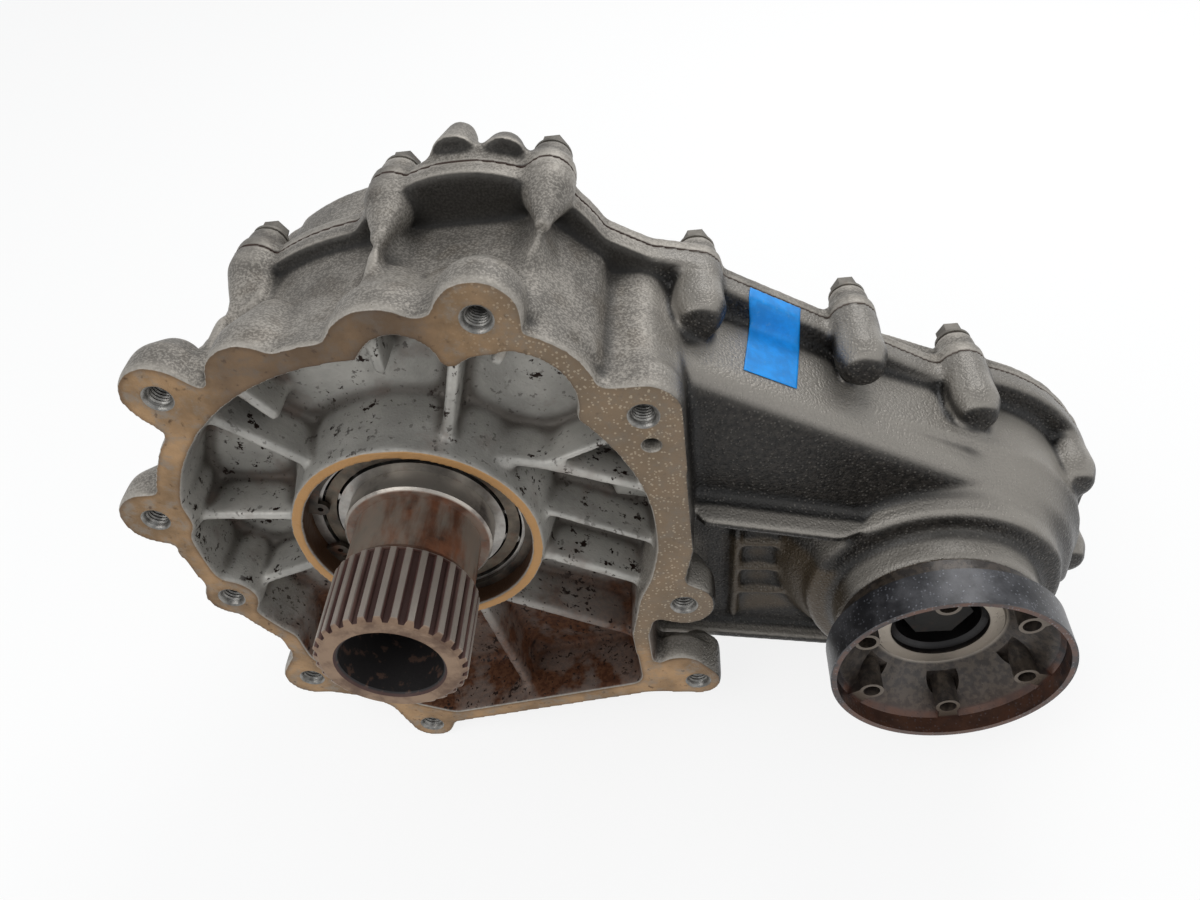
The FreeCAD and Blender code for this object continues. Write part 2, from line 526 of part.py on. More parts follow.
def rear_housing_shape():
    ox, oz = S.out_x, S.out_z
    seam = S.seam_y
    wall = S.case_wall
    cone_front = S.rear_case_back
    crown_side = S.end_radius - 4
    parts = lip_region(seam, seam + S.rear_lip_depth) + [
        disc(0, 0, S.waist_radius, seam, cone_front),
        cone(0, 0, S.waist_radius, S.rear_boss_radius + 20, cone_front, S.rear_cone_back),
        cone(0, 0, S.rear_boss_radius + 8, S.rear_boss_radius - 3, S.rear_cone_back - 1, S.rear_boss_back),
        limb(0, 0, S.waist_radius, ox, oz, S.end_radius + 3, seam, S.rear_end_back),
        cone(S.crown_x, S.crown_z, S.crown_lip_radius - 7, S.crown_lip_radius - 26, seam, cone_front - 6),
        limb(S.crown_x, S.crown_z, S.crown_lip_radius - 18, ox, oz, crown_side, seam, S.rear_end_back - 4),
        cone(ox, oz, S.end_radius - 8, S.tail_bearing_outer + 10, S.rear_end_back - 1, S.rear_end_back + 14),
        plate(FOOT, S.foot_front, S.foot_back),
    ]
    for x, z in TOWERS:
        parts.append(cone(x, z, S.tower_seam_radius, S.tower_back_radius, seam, S.bolt_seat))
    for x, z, front_radius, back_radius, reach in REAR_HUMPS:
        parts.append(cone(x, z, front_radius, back_radius, seam + S.rear_lip_depth - 1, seam + reach))
    parts.append(disc(S.breather_x, S.breather_z, S.breather_cap + 2, seam + 4, S.breather_seat))
    for angle in SMALL_RIB_ANGLES:
        turn = math.radians(angle)
        near, far = S.rear_boss_radius - 8, S.waist_radius - 3
        parts.append(fin((near * math.cos(turn), near * math.sin(turn)),
                         (far * math.cos(turn), far * math.sin(turn)),
                         cone_front - 20, S.rear_cone_back + 12, S.rib_wall).common(
            cone(0, 0, S.waist_radius + 22, S.rear_boss_radius - 6, cone_front - 24, S.rear_cone_back + 18)))
    for x, z in (FILL_PLUG, DRAIN_PLUG):
        parts.append(disc(x, z, S.plug_head_radius + 3, seam + 4, S.rear_end_back + 3))
    casting = fused(parts)

    seat_back = S.rear_boss_back - 19
    seat_front = seat_back - S.rear_bearing_width
    hollow = fused([
        disc(0, 0, S.cavity_radius, seam - 1, S.rear_case_back - wall),
        cone(0, 0, S.cavity_radius, S.rear_bearing_outer + 10, S.rear_case_back - wall - 0.01,
             S.rear_cone_back - wall - 6),
        chain_hollow(seam - 1, S.rear_end_back - wall),
    ])
    bores = [
        hollow,
        disc(0, 0, S.rear_bearing_outer - 4, S.rear_case_back, seat_front + 1),
        disc(0, 0, S.rear_bearing_outer, seat_front, seat_back),
        disc(0, 0, S.rear_bearing_outer + 1.6, seat_back - 0.01, seat_back + S.ring_width),
        disc(0, 0, S.rear_bearing_outer - 0.2, seat_back, S.rear_boss_back - S.rear_seal_width),
        disc(0, 0, S.rear_seal_radius, S.rear_boss_back - S.rear_seal_width - 1, S.rear_boss_back + 1),
        disc(ox, oz, S.tail_bearing_outer, seam, S.rear_end_back + 6),
    ]
    for x, z in TOWERS:
        bores.append(disc(x, z, S.bolt_radius + 0.4, seam - 1, S.bolt_seat + 1))
        bores.append(disc(x, z, S.bolt_washer_radius + 1, S.bolt_seat, S.bolt_seat + 40))
    for x, z in DOWELS:
        bores.append(disc(x, z, S.dowel_radius, seam - 1, seam + S.dowel_half_length + S.fit_gap))
    for x, z in (FILL_PLUG, DRAIN_PLUG):
        bores.append(disc(x, z, S.plug_radius, S.rear_end_back - 16, S.rear_end_back + 4))
    bores.append(disc(S.breather_x, S.breather_z, S.breather_stem, S.rear_end_back - wall - 1,
                      S.breather_seat + 1))
    middle = (S.foot_front + S.foot_back) / 2
    for x in FOOT_HOLES:
        bores.append(Part.makeCylinder(S.foot_hole_radius, 22, Vector(x, middle, S.foot_bottom - 1),
                                       Vector(0, 0, 1)))
    return casting.cut(bores)


rear_housing = shape_node("rear_housing", rear_housing_shape())


# ---------------------------------------------------------------- seam hardware and plugs


def hexagon(radius, x, y, z, length):
    """Hexagonal prism along Y, radius to its corners."""
    corners = [Vector(x + radius * math.cos(k * math.pi / 3), y, z + radius * math.sin(k * math.pi / 3))
               for k in range(6)]
    return Part.Face(Part.makePolygon(corners + corners[:1])).extrude(Vector(0, length, 0))


def seam_bolt(x, z):
    seat = S.bolt_seat
    washer_back = seat + S.bolt_washer_height
    return disc(x, z, S.bolt_radius - S.fit_gap, S.seam_y - S.bolt_reach, seat + 0.5).fuse([
        disc(x, z, S.bolt_washer_radius, seat, washer_back),
        hexagon(S.bolt_head_radius, x, washer_back - 0.01, z, S.bolt_head_height),
    ]).removeSplitter()


shape_node("housing_bolts", Part.makeCompound([seam_bolt(x, z) for x, z in TOWERS]))
shape_node("locating_dowels", Part.makeCompound([
    disc(x, z, S.dowel_radius - S.fit_gap, S.seam_y - S.dowel_half_length, S.seam_y + S.dowel_half_length)
    for x, z in DOWELS]))


def screw_plug(x, z):
    """Threaded plug with a hexagon socket, screwed in from the rear."""
    seat = S.rear_end_back + 3
    body = disc(x, z, S.plug_radius - S.fit_gap, seat - S.plug_length, seat + 0.5).fuse(
        cone(x, z, S.plug_head_radius, S.plug_head_radius - 1.5, seat, seat + S.plug_head_height))
    return body.cut(hexagon(S.plug_radius * 0.6, x, seat + 1, z, S.plug_head_height)).removeSplitter()


shape_node("fill_plug", screw_plug(*FILL_PLUG))
shape_node("drain_plug", screw_plug(*DRAIN_PLUG))


# ---------------------------------------------------------------- bearings, rings and seals


def bearing(name, outer, inner, front, width, axis="input"):
    """Outer race, inner race, rollers and their cage; all come from the same radii."""
    back = "%s + %s" % (front, width)
    turned(name + "_outer_race", ring_profile(outer + " - race_wall", outer, front, back), axis)
    turned(name + "_inner_race", ring_profile(inner, inner + " + race_wall", front, back), axis)
    start = number(front) + S.roller_set_in
    length = number(width) - 2 * S.roller_set_in
    inside = number(inner) + S.race_wall + S.roller_gap
    outside = number(outer) - S.race_wall - S.roller_gap
    middle = (inside + outside) / 2
    x, z = (S.out_x, S.out_z) if axis == "output" else (0, 0)
    radius = (outside - inside) / 2
    places = ring_of(S.roller_count, middle, x, z)
    shape_node(name + "_rollers", Part.makeCompound([
        disc(cx, cz, radius, start, start + length) for cx, cz, _ in places]))
    cage_front, cage_back = start - S.roller_set_in + 1, start + length + S.roller_set_in - 1
    cage = disc(x, z, middle + radius * 0.7, cage_front, cage_back).cut(
        disc(x, z, middle - radius * 0.7, cage_front - 1, cage_back + 1))
    windows = [disc(cx, cz, radius + S.roller_gap, start - S.roller_gap, start + length + S.roller_gap)
               for cx, cz, _ in places]
    shape_node(name + "_cage", cage.cut(windows))


bearing("input_bearing", "input_bearing_outer", "input_journal_radius", INPUT_SEAT, "input_bearing_width")
bearing("front_output_bearing", "front_bearing_outer", "front_bearing_inner", FRONT_SEAT,
        "front_bearing_width", "output")
bearing("output_tail_bearing", "tail_bearing_outer", "tail_bearing_inner", TAIL_SEAT,
        "tail_bearing_width", "output")
bearing("rear_bearing", "rear_bearing_outer", "rear_bearing_inner", REAR_SEAT, "rear_bearing_width")


def snap_ring(outer, inner, front, back, gap_angle):
    """Internal circlip: a split ring with two pierced ears at its gap, which faces left."""
    ring = disc(0, 0, outer, front, back).cut(disc(0, 0, inner, front - 1, back + 1))
    half = math.radians(gap_angle / 2)
    reach = outer * 1.3
    wedge = Part.makePolygon([Vector(0, front - 1, 0),
                              Vector(-reach * math.cos(half), front - 1, reach * math.sin(half)),
                              Vector(-reach * math.cos(half), front - 1, -reach * math.sin(half)),
                              Vector(0, front - 1, 0)])
    ring = ring.cut(Part.Face(wedge).extrude(Vector(0, back - front + 2, 0)))
    ears, holes = [], []
    for side in (1, -1):
        angle = math.pi - side * (half + 0.075)
        x, z = (inner - 1.5) * math.cos(angle), (inner - 1.5) * math.sin(angle)
        ears.append(disc(x, z, 4, front, back))
        holes.append(disc(x, z, 1.4, front - 1, back + 1))
    return fused([ring] + ears).cut(holes)


shape_node("input_snap_ring", snap_ring(
    S.ring_groove_radius - S.fit_gap, S.ring_inner_radius, S.mouth_depth + S.fit_gap,
    S.mouth_depth + S.ring_width - S.fit_gap, S.snap_ring_gap_angle))
turned("rear_snap_ring", ring_profile("rear_bearing_outer - 4", "rear_bearing_outer + 1.6 - fit_gap",
                                      "rear_boss_back - 19", "rear_boss_back - 19 + ring_width - fit_gap"))


def lip_seal(name, outer, shaft, front, width, axis="input"):
    """Shaft seal: a case with a thin lip that stops just short of the running surface."""
    back = "%s + %s" % (front, width)
    lip = shaft + " + running_gap"
    turned(name, [
        (outer + " - 3", front), (outer, front), (outer, back), (shaft + " + 2.4", back),
        (lip, "%s + %s * 0.7" % (front, width)), (lip, "%s + %s * 0.5" % (front, width)),
        (shaft + " + 3", front + " + 2")], axis)


lip_seal("input_oil_seal", "seat_shoulder_radius", "seal_land_radius",
         INPUT_SEAT + " + input_bearing_width + 3", "input_seal_width")
lip_seal("front_output_seal", "out_seal_radius", "flange_hub_radius", "out_boss_front", "out_seal_width",
         "output")
lip_seal("rear_output_seal", "rear_seal_radius", "rear_hub_radius", "rear_boss_back - rear_seal_width",
         "rear_seal_width")


# ---------------------------------------------------------------- input shaft and centre differential

PRESSURE_COS = math.cos(math.radians(20))


def external_spline(teeth, root, tip, front, back):
    """Prism of straight-sided spline teeth round the input axis."""
    step = math.pi / teeth
    halves = (step * 0.66, step * 0.52, step * 0.36)
    outline = gear_outline(teeth, root, (root + tip) / 2, tip, halves, 0, front)
    return Part.Face(outline).extrude(Vector(0, back - front, 0))


def input_shaft_shape():
    """Hollow splined nose, journal, seal land and the stub that carries the planet carrier."""
    back_plate = S.gear_front + S.gear_width + S.carrier_gap
    seat_back = number(INPUT_SEAT) + S.input_bearing_width
    journal = S.input_journal_radius
    bore = S.input_bore_radius
    teeth = external_spline(S.spline_teeth, S.spline_root_radius, S.spline_tip_radius, S.spline_front,
                            S.spline_back)
    parts = [
        teeth,
        cone(0, 0, S.spline_tip_radius - 0.3, S.neck_radius, S.spline_back, S.spline_back + 4),
        disc(0, 0, S.neck_radius, S.spline_back, S.collar_front + 1),
        cone(0, 0, journal - 1.5, journal, S.collar_front, S.collar_front + 1.5),
        disc(0, 0, journal, S.collar_front + 1.5, seat_back),
        disc(0, 0, S.seal_land_radius, seat_back, S.web_back + 3),
        disc(0, 0, S.stub_radius, S.web_back + 2, back_plate),
    ]
    nose_chamfer = Part.makeCone(S.spline_root_radius - 0.8, S.spline_tip_radius + 2.5, 3.4,
                                 Vector(0, S.spline_front, 0), Vector(0, 1, 0))
    body = fused(parts)
    keep = nose_chamfer.fuse(disc(0, 0, journal + 5, S.spline_front + 3.3, back_plate + 1))
    body = body.common(keep)
    return body.cut([
        disc(0, 0, bore, S.spline_front - 1, S.input_bore_back),
        cone(0, 0, bore + 1.6, bore, S.spline_front - 0.1, S.spline_front + 1.6),
        cone(0, 0, bore, 4, S.input_bore_back - 0.01, S.input_bore_back + 9),
    ])


shape_node("input_shaft", input_shaft_shape())


def planet_angles():
    return [turn for _, _, turn in ring_of(S.planet_count, 1, 0, 0, math.pi / 2)]


def carrier_radius_to_pins():
    return S.gear_module * (S.sun_teeth + S.planet_teeth) / 2


def carrier_shape():
    """Two plates joined by posts between the planets; the rear plate is fixed to the input shaft."""
    front, back = S.gear_front, S.gear_front + S.gear_width
    gap, thick = S.carrier_gap, S.carrier_plate
    pins = carrier_radius_to_pins()
    front_plate = disc(0, 0, S.carrier_radius, front - gap - thick, front - gap).cut(
        disc(0, 0, S.sleeve_radius + 1, front - gap - thick - 1, front))
    rear_plate = disc(0, 0, S.carrier_radius, back + gap, back + gap + thick)
    posts = []
    for angle in planet_angles():
        turn = angle + math.pi / S.planet_count
        x, z = (pins + 3) * math.cos(turn), (pins + 3) * math.sin(turn)
        posts.append(disc(x, z, 6.5, front - gap - 0.5, back + gap + 0.5))
    body = fused([front_plate, rear_plate] + posts)
    holes = [disc(pins * math.cos(a), pins * math.sin(a), S.planet_pin_radius, front - 20, back + 20)
             for a in planet_angles()]
    return body.cut(holes)


shape_node("planet_carrier", carrier_shape())
shape_node("planet_pins", Part.makeCompound([
    disc(carrier_radius_to_pins() * math.cos(a), carrier_radius_to_pins() * math.sin(a),
         S.planet_pin_radius - S.fit_gap, S.gear_front - S.carrier_gap - S.carrier_plate,
         S.gear_front + S.gear_width + S.carrier_gap + S.carrier_plate) for a in planet_angles()]))


def spur_prism(teeth, addendum, dedendum, lean, front, back):
    pitch = teeth * S.gear_module / 2
    root, tip = pitch - dedendum * S.gear_module, pitch + addendum * S.gear_module
    flank_root = max(root, pitch * PRESSURE_COS)
    halves = involute_half_angles(teeth, S.gear_module, (flank_root, pitch, tip), S.gear_backlash)
    outline = gear_outline(teeth, root, pitch, tip, halves, lean, front)
    return Part.Face(outline).extrude(Vector(0, back - front, 0))


def fraction(value):
    return value - math.floor(value)


def planet_lean(angle):
    """Turn of a planet that brings its tooth gap onto the sun's tooth along their centre line."""
    sun_phase = fraction(angle * S.sun_teeth / (2 * math.pi))
    return angle + math.pi + (sun_phase + 0.5) * 2 * math.pi / S.planet_teeth


def ring_lean():
    """Turn of the ring gear that meshes it with the first planet."""
    angle = planet_angles()[0]
    planet_phase = fraction((angle - planet_lean(angle)) * S.planet_teeth / (2 * math.pi))
    gap_middle = angle - planet_phase * 2 * math.pi / S.ring_teeth
    return gap_middle + math.pi / S.ring_teeth


S.ring_teeth = S.sun_teeth + 2 * S.planet_teeth
S.ring_outer = S.gear_module * (S.ring_teeth / 2 + 1.25) + S.gear_rim
GEAR_BACK = S.gear_front + S.gear_width
SLEEVE_BORE = S.stub_radius + S.running_gap

for index, angle in enumerate(planet_angles(), start=1):
    pins = carrier_radius_to_pins()
    wheel = spur_prism(S.planet_teeth, 1.0, 1.25, planet_lean(angle), S.gear_front, GEAR_BACK)
    wheel = wheel.cut(disc(0, 0, S.planet_pin_radius + S.running_gap, S.gear_front - 1, GEAR_BACK + 1))
    wheel.translate(Vector(pins * math.cos(angle), 0, pins * math.sin(angle)))
    shape_node("planet_gear_%d" % index, wheel)

sun = spur_prism(S.sun_teeth, 1.0, 1.25, 0, S.gear_front, GEAR_BACK - 0.5)
sleeve = disc(0, 0, S.sleeve_radius - 1, S.sprocket_front + S.sprocket_width, S.gear_front)
shape_node("sun_gear", fused([sun, sleeve]).cut(
    disc(0, 0, SLEEVE_BORE, S.sprocket_front, GEAR_BACK + 1)))


def ring_gear_shape():
    pitch = S.ring_teeth * S.gear_module / 2
    root, tip = pitch + 1.25 * S.gear_module, pitch - 0.9 * S.gear_module
    halves = involute_half_angles(S.ring_teeth, S.gear_module, (root, pitch, tip), S.gear_backlash, True)
    outline = gear_outline(S.ring_teeth, root, pitch, tip, halves, ring_lean(), S.gear_front)
    bore = Part.Face(outline).extrude(Vector(0, S.gear_width, 0))
    return disc(0, 0, S.ring_outer, S.gear_front, GEAR_BACK).cut(bore)


shape_node("ring_gear", ring_gear_shape())


# ---------------------------------------------------------------- chain drive

CENTRES = math.hypot(S.out_x, S.out_z)
CHAIN_PITCH = CENTRES / S.chain_links_per_run
CHAIN_RADIUS = CHAIN_PITCH / (2 * math.sin(math.pi / S.sprocket_teeth))
CHAIN_LINE = math.atan2(S.out_z, S.out_x)


def sprocket(bore, hub_radius, hub_back, x, z):
    """Toothed wheel of the silent chain, with a plain hub on its rear side."""
    step = math.pi / S.sprocket_teeth
    tip = CHAIN_RADIUS * math.cos(step) - S.chain_depth / 2 - S.chain_gap
    root = tip - S.sprocket_tooth_height
    front, back = S.sprocket_front, S.sprocket_front + S.sprocket_width
    halves = (step * 0.75, step * 0.6, step * 0.4)
    outline = gear_outline(S.sprocket_teeth, root, (root + tip) / 2, tip, halves, 0, front)
    wheel = Part.Face(outline).extrude(Vector(0, back - front, 0))
    hub = disc(0, 0, hub_radius + 4, front - 2, back + 2)
    recesses = [disc(0, 0, root - 7, front - 1, front + 5).cut(hub),
                disc(0, 0, root - 7, back - 5, back + 1).cut(hub)]
    wheel = wheel.cut(recesses).fuse(disc(0, 0, hub_radius, back - 6, hub_back))
    wheel = wheel.cut(disc(0, 0, bore, front - 1, hub_back + 1))
    wheel.translate(Vector(x, 0, z))
    return wheel.removeSplitter()


SPROCKET_BACK = S.sprocket_front + S.sprocket_width
shape_node("drive_sprocket", sprocket(SLEEVE_BORE, S.sleeve_radius + 4, SPROCKET_BACK, 0, 0))
shape_node("driven_sprocket", sprocket(S.front_bearing_inner + 2, S.sleeve_radius + 4, SPROCKET_BACK + 8,
                                       S.out_x, S.out_z))


def chain_joints():
    """Pin centres of the chain, once round both sprockets."""
    half_turn = int(S.sprocket_teeth / 2)
    run = int(S.chain_links_per_run)
    left, right = CHAIN_LINE + math.pi / 2, CHAIN_LINE - math.pi / 2

    def rim(x, z, angle):
        return x + CHAIN_RADIUS * math.cos(angle), z + CHAIN_RADIUS * math.sin(angle)

    joints = [rim(0, 0, left + math.pi * k / half_turn) for k in range(half_turn)]
    joints += [rim(S.out_x * k / run, S.out_z * k / run, right) for k in range(run)]
    joints += [rim(S.out_x, S.out_z, right + math.pi * k / half_turn) for k in range(half_turn)]
    joints += [rim(S.out_x * k / run, S.out_z * k / run, left) for k in range(run, 0, -1)]
    return joints


def chain_link(start, end, front, back):
    """Link plate with chamfered ends between two pin centres."""
    run = Vector(end[0] - start[0], 0, end[1] - start[1])
    along = Vector(run).normalize()
    across = Vector(-along.z, 0, along.x)
    base = Vector(start[0], front, start[1])
    deep, tail = S.chain_depth / 2, S.chain_depth / 2 - 0.2
    near, far = -tail * 0.3, run.Length + tail * 0.3
    outline = [(-tail, 0.3), (near, 1), (far, 1), (run.Length + tail, 0.3),
               (run.Length + tail, -0.3), (far, -1), (near, -1), (-tail, -0.3)]
    corners = [base + along * shift + across * (deep * height) for shift, height in outline]
    return Part.Face(Part.makePolygon(corners + corners[:1])).extrude(Vector(0, back - front, 0))


def chain_shape():
    """Alternate inner blocks and pairs of outer plates."""
    joints = chain_joints()
    front, back = S.sprocket_front - S.chain_plate - 1, SPROCKET_BACK + S.chain_plate + 1
    links = []
    for k, start in enumerate(joints):
        end = joints[(k + 1) % len(joints)]
        if k % 2:
            links.append(chain_link(start, end, front + S.chain_plate + 0.1, back - S.chain_plate - 0.1))
        else:
            links.append(chain_link(start, end, front, front + S.chain_plate))
            links.append(chain_link(start, end, back - S.chain_plate, back))
    return Part.makeCompound(links)


shape_node("drive_chain", chain_shape())


# ---------------------------------------------------------------- front output

turned("front_output_shaft", [
    ("0", "flange_bore_back - nut_height - 1"), ("out_thread_radius", "flange_bore_back - nut_height - 1"),
    ("out_thread_radius", "flange_bore_back"), ("out_shaft_radius", "flange_bore_back"),
    ("out_shaft_radius", FRONT_SEAT), ("front_bearing_inner", FRONT_SEAT),
    ("front_bearing_inner", FRONT_SEAT + " + front_bearing_width"),
    ("front_bearing_inner + 2", FRONT_SEAT + " + front_bearing_width"),
    ("front_bearing_inner + 2", "sprocket_front + sprocket_width + 8"),
    ("tail_bearing_inner + 3", "sprocket_front + sprocket_width + 8"),
    ("tail_bearing_inner + 3", TAIL_SEAT), ("tail_bearing_inner", TAIL_SEAT),
    ("tail_bearing_inner", "rear_end_back + 4"), ("0", "rear_end_back + 4"),
], "output")


def front_flange_shape():
    """Cup flange for a constant-velocity joint: turned cup, threaded bosses and a scallop inside each."""
    x, z = S.out_x, S.out_z
    hub_back = number(FRONT_SEAT)
    inner = S.flange_radius - S.flange_lip
    cup = lathe([
        (inner, S.flange_front), (S.flange_radius, S.flange_front), (S.flange_radius, S.flange_rim_back),
        (S.flange_back_radius, S.flange_rim_back + 1), (S.flange_back_radius, S.flange_back),
        (S.out_collar_bore - 2, S.flange_back), (S.out_collar_bore - 4, S.out_boss_front - 3),
        (S.flange_hub_radius, S.out_boss_front - 3), (S.flange_hub_radius, hub_back),
        (S.out_shaft_radius, hub_back), (S.out_shaft_radius, S.flange_bore_back),
        (S.flange_bore_radius - 3, S.flange_bore_back), (S.flange_bore_radius - 3, 2.0),
        (S.flange_bore_radius, 0.0), (S.flange_bore_radius, -3.0), (S.flange_seat_radius - 1, -3.0),
        (S.flange_seat_radius, -2.0),
        (inner - 2, S.flange_boss_front + 3), (inner, S.flange_boss_front + 0.5),
    ], x, z)
    scallops, bosses, holes = [], [], []
    near = S.flange_seat_radius + S.flange_boss_radius - 1.5
    for cx, cz, turn in ring_of(S.flange_holes, S.flange_pcd / 2, x, z, math.radians(S.flange_turn)):
        across, up = math.cos(turn), math.sin(turn)
        scallops.append(disc(x + near * across, z + near * up, S.flange_boss_radius - 0.4,
                             S.flange_boss_front, -5.5))
        bosses.append(disc(cx, cz, S.flange_boss_radius - 2.5, S.flange_boss_front, -5))
        bosses.append(limb(cx, cz, 4, x + inner * across, z + inner * up, 5,
                           S.flange_boss_front, S.flange_rim_back))
        holes.append(disc(cx, cz, S.flange_hole_radius, S.flange_boss_front - 1, -4))
    trim = disc(x, z, inner + 1, S.flange_boss_front, 0)
    cup = cup.cut(scallops)
    cup = fused([cup] + [boss.common(trim) for boss in bosses])
    return cup.cut(holes)


shape_node("front_output_flange", front_flange_shape())


def collar_nut(x, z, front, bore):
    """Hexagon nut with a round collar; the collar sits on the flange at its far face."""
    body = hexagon(S.nut_radius, x, front, z, S.nut_height - 2).fuse(
        disc(x, z, S.nut_radius + 1, front + S.nut_height - 2, front + S.nut_height))
    return body.cut(disc(x, z, bore, front - 1, front + S.nut_height + 1)).removeSplitter()


shape_node("front_output_nut", collar_nut(S.out_x, S.out_z, S.flange_bore_back - S.nut_height,
                                          S.out_thread_radius + S.fit_gap))


# ---------------------------------------------------------------- rear output

S.drum_inner = S.ring_outer - S.gear_rim
S.plate_front = GEAR_BACK + S.carrier_gap + S.carrier_plate + 1.5
S.rear_seat = number(REAR_SEAT)


def rear_shaft_shape():
    """Drum that carries the ring gear, journal, splined end and thread, turned in one."""
    thread_back = S.rear_flange_back - 1
    nut_seat = thread_back - S.nut_height
    return lathe([
        (0, S.plate_front), (S.drum_inner, S.plate_front), (S.drum_inner, GEAR_BACK),
        (S.ring_outer, GEAR_BACK), (S.ring_outer, S.plate_front + 4), (S.ring_outer - 3, S.plate_front + 6),
        (S.rear_bearing_inner + 6, S.plate_front + 6), (S.rear_bearing_inner + 4, S.rear_seat),
        (S.rear_bearing_inner, S.rear_seat), (S.rear_bearing_inner, S.rear_seat + S.rear_bearing_width),
        (S.rear_shaft_radius, S.rear_seat + S.rear_bearing_width), (S.rear_shaft_radius, nut_seat),
        (S.out_thread_radius, nut_seat), (S.out_thread_radius, thread_back), (0, thread_back),
    ], 0, 0)


def rear_flange_shape():
    """Companion flange for the rear propeller shaft, pressed up to the bearing's inner race."""
    nut_seat = S.rear_flange_back - 1 - S.nut_height
    disc_front = S.rear_flange_back - S.rear_flange_disc
    hub_front = S.rear_seat + S.rear_bearing_width
    body = lathe([
        (S.rear_shaft_radius, hub_front), (S.rear_hub_radius, hub_front),
        (S.rear_hub_radius, S.rear_boss_back + 6), (S.rear_hub_radius + 6, disc_front),
        (S.rear_flange_radius, disc_front), (S.rear_flange_radius, S.rear_flange_back),
        (S.nut_radius + 6, S.rear_flange_back), (S.nut_radius + 4, nut_seat), (S.rear_shaft_radius, nut_seat),
    ], 0, 0)
    cuts = [disc(cx, cz, S.rear_flange_hole_radius, disc_front - 1, S.rear_flange_back + 1)
            for cx, cz, _ in ring_of(S.rear_flange_holes, S.rear_flange_pcd / 2, 0, 0, math.pi / 4)]
    cuts += [disc(cx, cz, 15, disc_front - 1, S.rear_flange_back + 1)
             for cx, cz, _ in ring_of(S.rear_flange_holes, S.rear_flange_radius + 8, 0, 0)]
    return body.cut(cuts)


def rear_nut_shape():
    front = S.rear_flange_back - 1 - S.nut_height
    nut = collar_nut(0, 0, 0, S.out_thread_radius + S.fit_gap)
    nut.rotate(Vector(0, 0, 0), Vector(0, 0, 1), 180)
    nut.translate(Vector(0, front + S.nut_height, 0))
    return nut


shape_node("rear_output_shaft", rear_shaft_shape())
shape_node("rear_output_flange", rear_flange_shape())
shape_node("rear_output_nut", rear_nut_shape())


# ---------------------------------------------------------------- small parts

def breather():
    """Vent on the back of the rear casting: a pressed-in stem and a low cap."""
    stem = "breather_stem - fit_gap"
    body = turned_body("breather", [
        ("0", "rear_end_back - 6"), (stem, "rear_end_back - 6"), (stem, "breather_seat"),
        ("breather_cap", "breather_seat"), ("breather_cap", "breather_back - 3"),
        ("breather_cap - 2", "breather_back"), ("0", "breather_back"),
    ])
    body.setExpression(".Placement.Base.x", bound("breather_x"))
    body.setExpression(".Placement.Base.z", bound("breather_z"))
    return body


node(breather(), "breather")


# ---------------------------------------------------------------- checks and export

doc.recompute()
for item in doc.Objects:
    if "Invalid" in item.State or "Error" in item.State:
        raise RuntimeError("%s did not build: %s" % (item.Label, item.State))
for thing in NODES:
    if thing.Shape.isNull() or not thing.Shape.isValid():
        raise RuntimeError("%s has no valid shape" % thing.Label)

os.makedirs("parts", exist_ok=True)
for thing in NODES:
    thing.Shape.exportStep(os.path.join("parts", thing.Label + ".step"))
print("%d nodes written" % len(NODES))
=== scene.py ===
import math

import bpy
import numpy as np
from bpy.props import FloatProperty, FloatVectorProperty, IntProperty, PointerProperty
from mathutils import Matrix, Vector
from mathutils.bvhtree import BVHTree


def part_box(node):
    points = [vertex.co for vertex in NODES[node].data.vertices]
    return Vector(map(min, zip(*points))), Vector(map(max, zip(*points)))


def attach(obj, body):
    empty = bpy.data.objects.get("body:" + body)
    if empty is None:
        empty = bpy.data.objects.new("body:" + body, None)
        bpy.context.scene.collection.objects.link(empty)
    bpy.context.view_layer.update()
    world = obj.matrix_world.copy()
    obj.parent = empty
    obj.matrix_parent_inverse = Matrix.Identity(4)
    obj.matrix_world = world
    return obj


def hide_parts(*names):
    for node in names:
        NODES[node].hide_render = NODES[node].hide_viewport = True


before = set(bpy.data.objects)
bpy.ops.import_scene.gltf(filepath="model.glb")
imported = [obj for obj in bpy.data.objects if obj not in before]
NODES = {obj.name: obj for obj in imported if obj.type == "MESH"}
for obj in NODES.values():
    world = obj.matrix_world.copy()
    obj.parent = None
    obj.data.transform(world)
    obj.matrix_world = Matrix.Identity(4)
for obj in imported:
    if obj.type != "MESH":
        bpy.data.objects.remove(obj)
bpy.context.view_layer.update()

bl_info = {
    "name": "Transfer case",
    "version": (1, 0, 0),
    "blender": (4, 5, 0),
    "location": "View3D > Sidebar > Transfer case",
    "description": "Dresses a transfer case's castings, shafts and flanges and sets up its studio",
    "category": "Object",
}

# Axis of the front output from its shaft's box, the castings' seam, and the floor just under them.
FLOOR_GAP = 0.0003
OUT_LOW, OUT_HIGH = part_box("front_output_shaft")
OUT_X, OUT_Z = (OUT_LOW.x + OUT_HIGH.x) / 2, (OUT_LOW.z + OUT_HIGH.z) / 2
SEAM_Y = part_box("front_housing")[1].y
FLOOR_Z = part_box("front_housing")[0].z - FLOOR_GAP

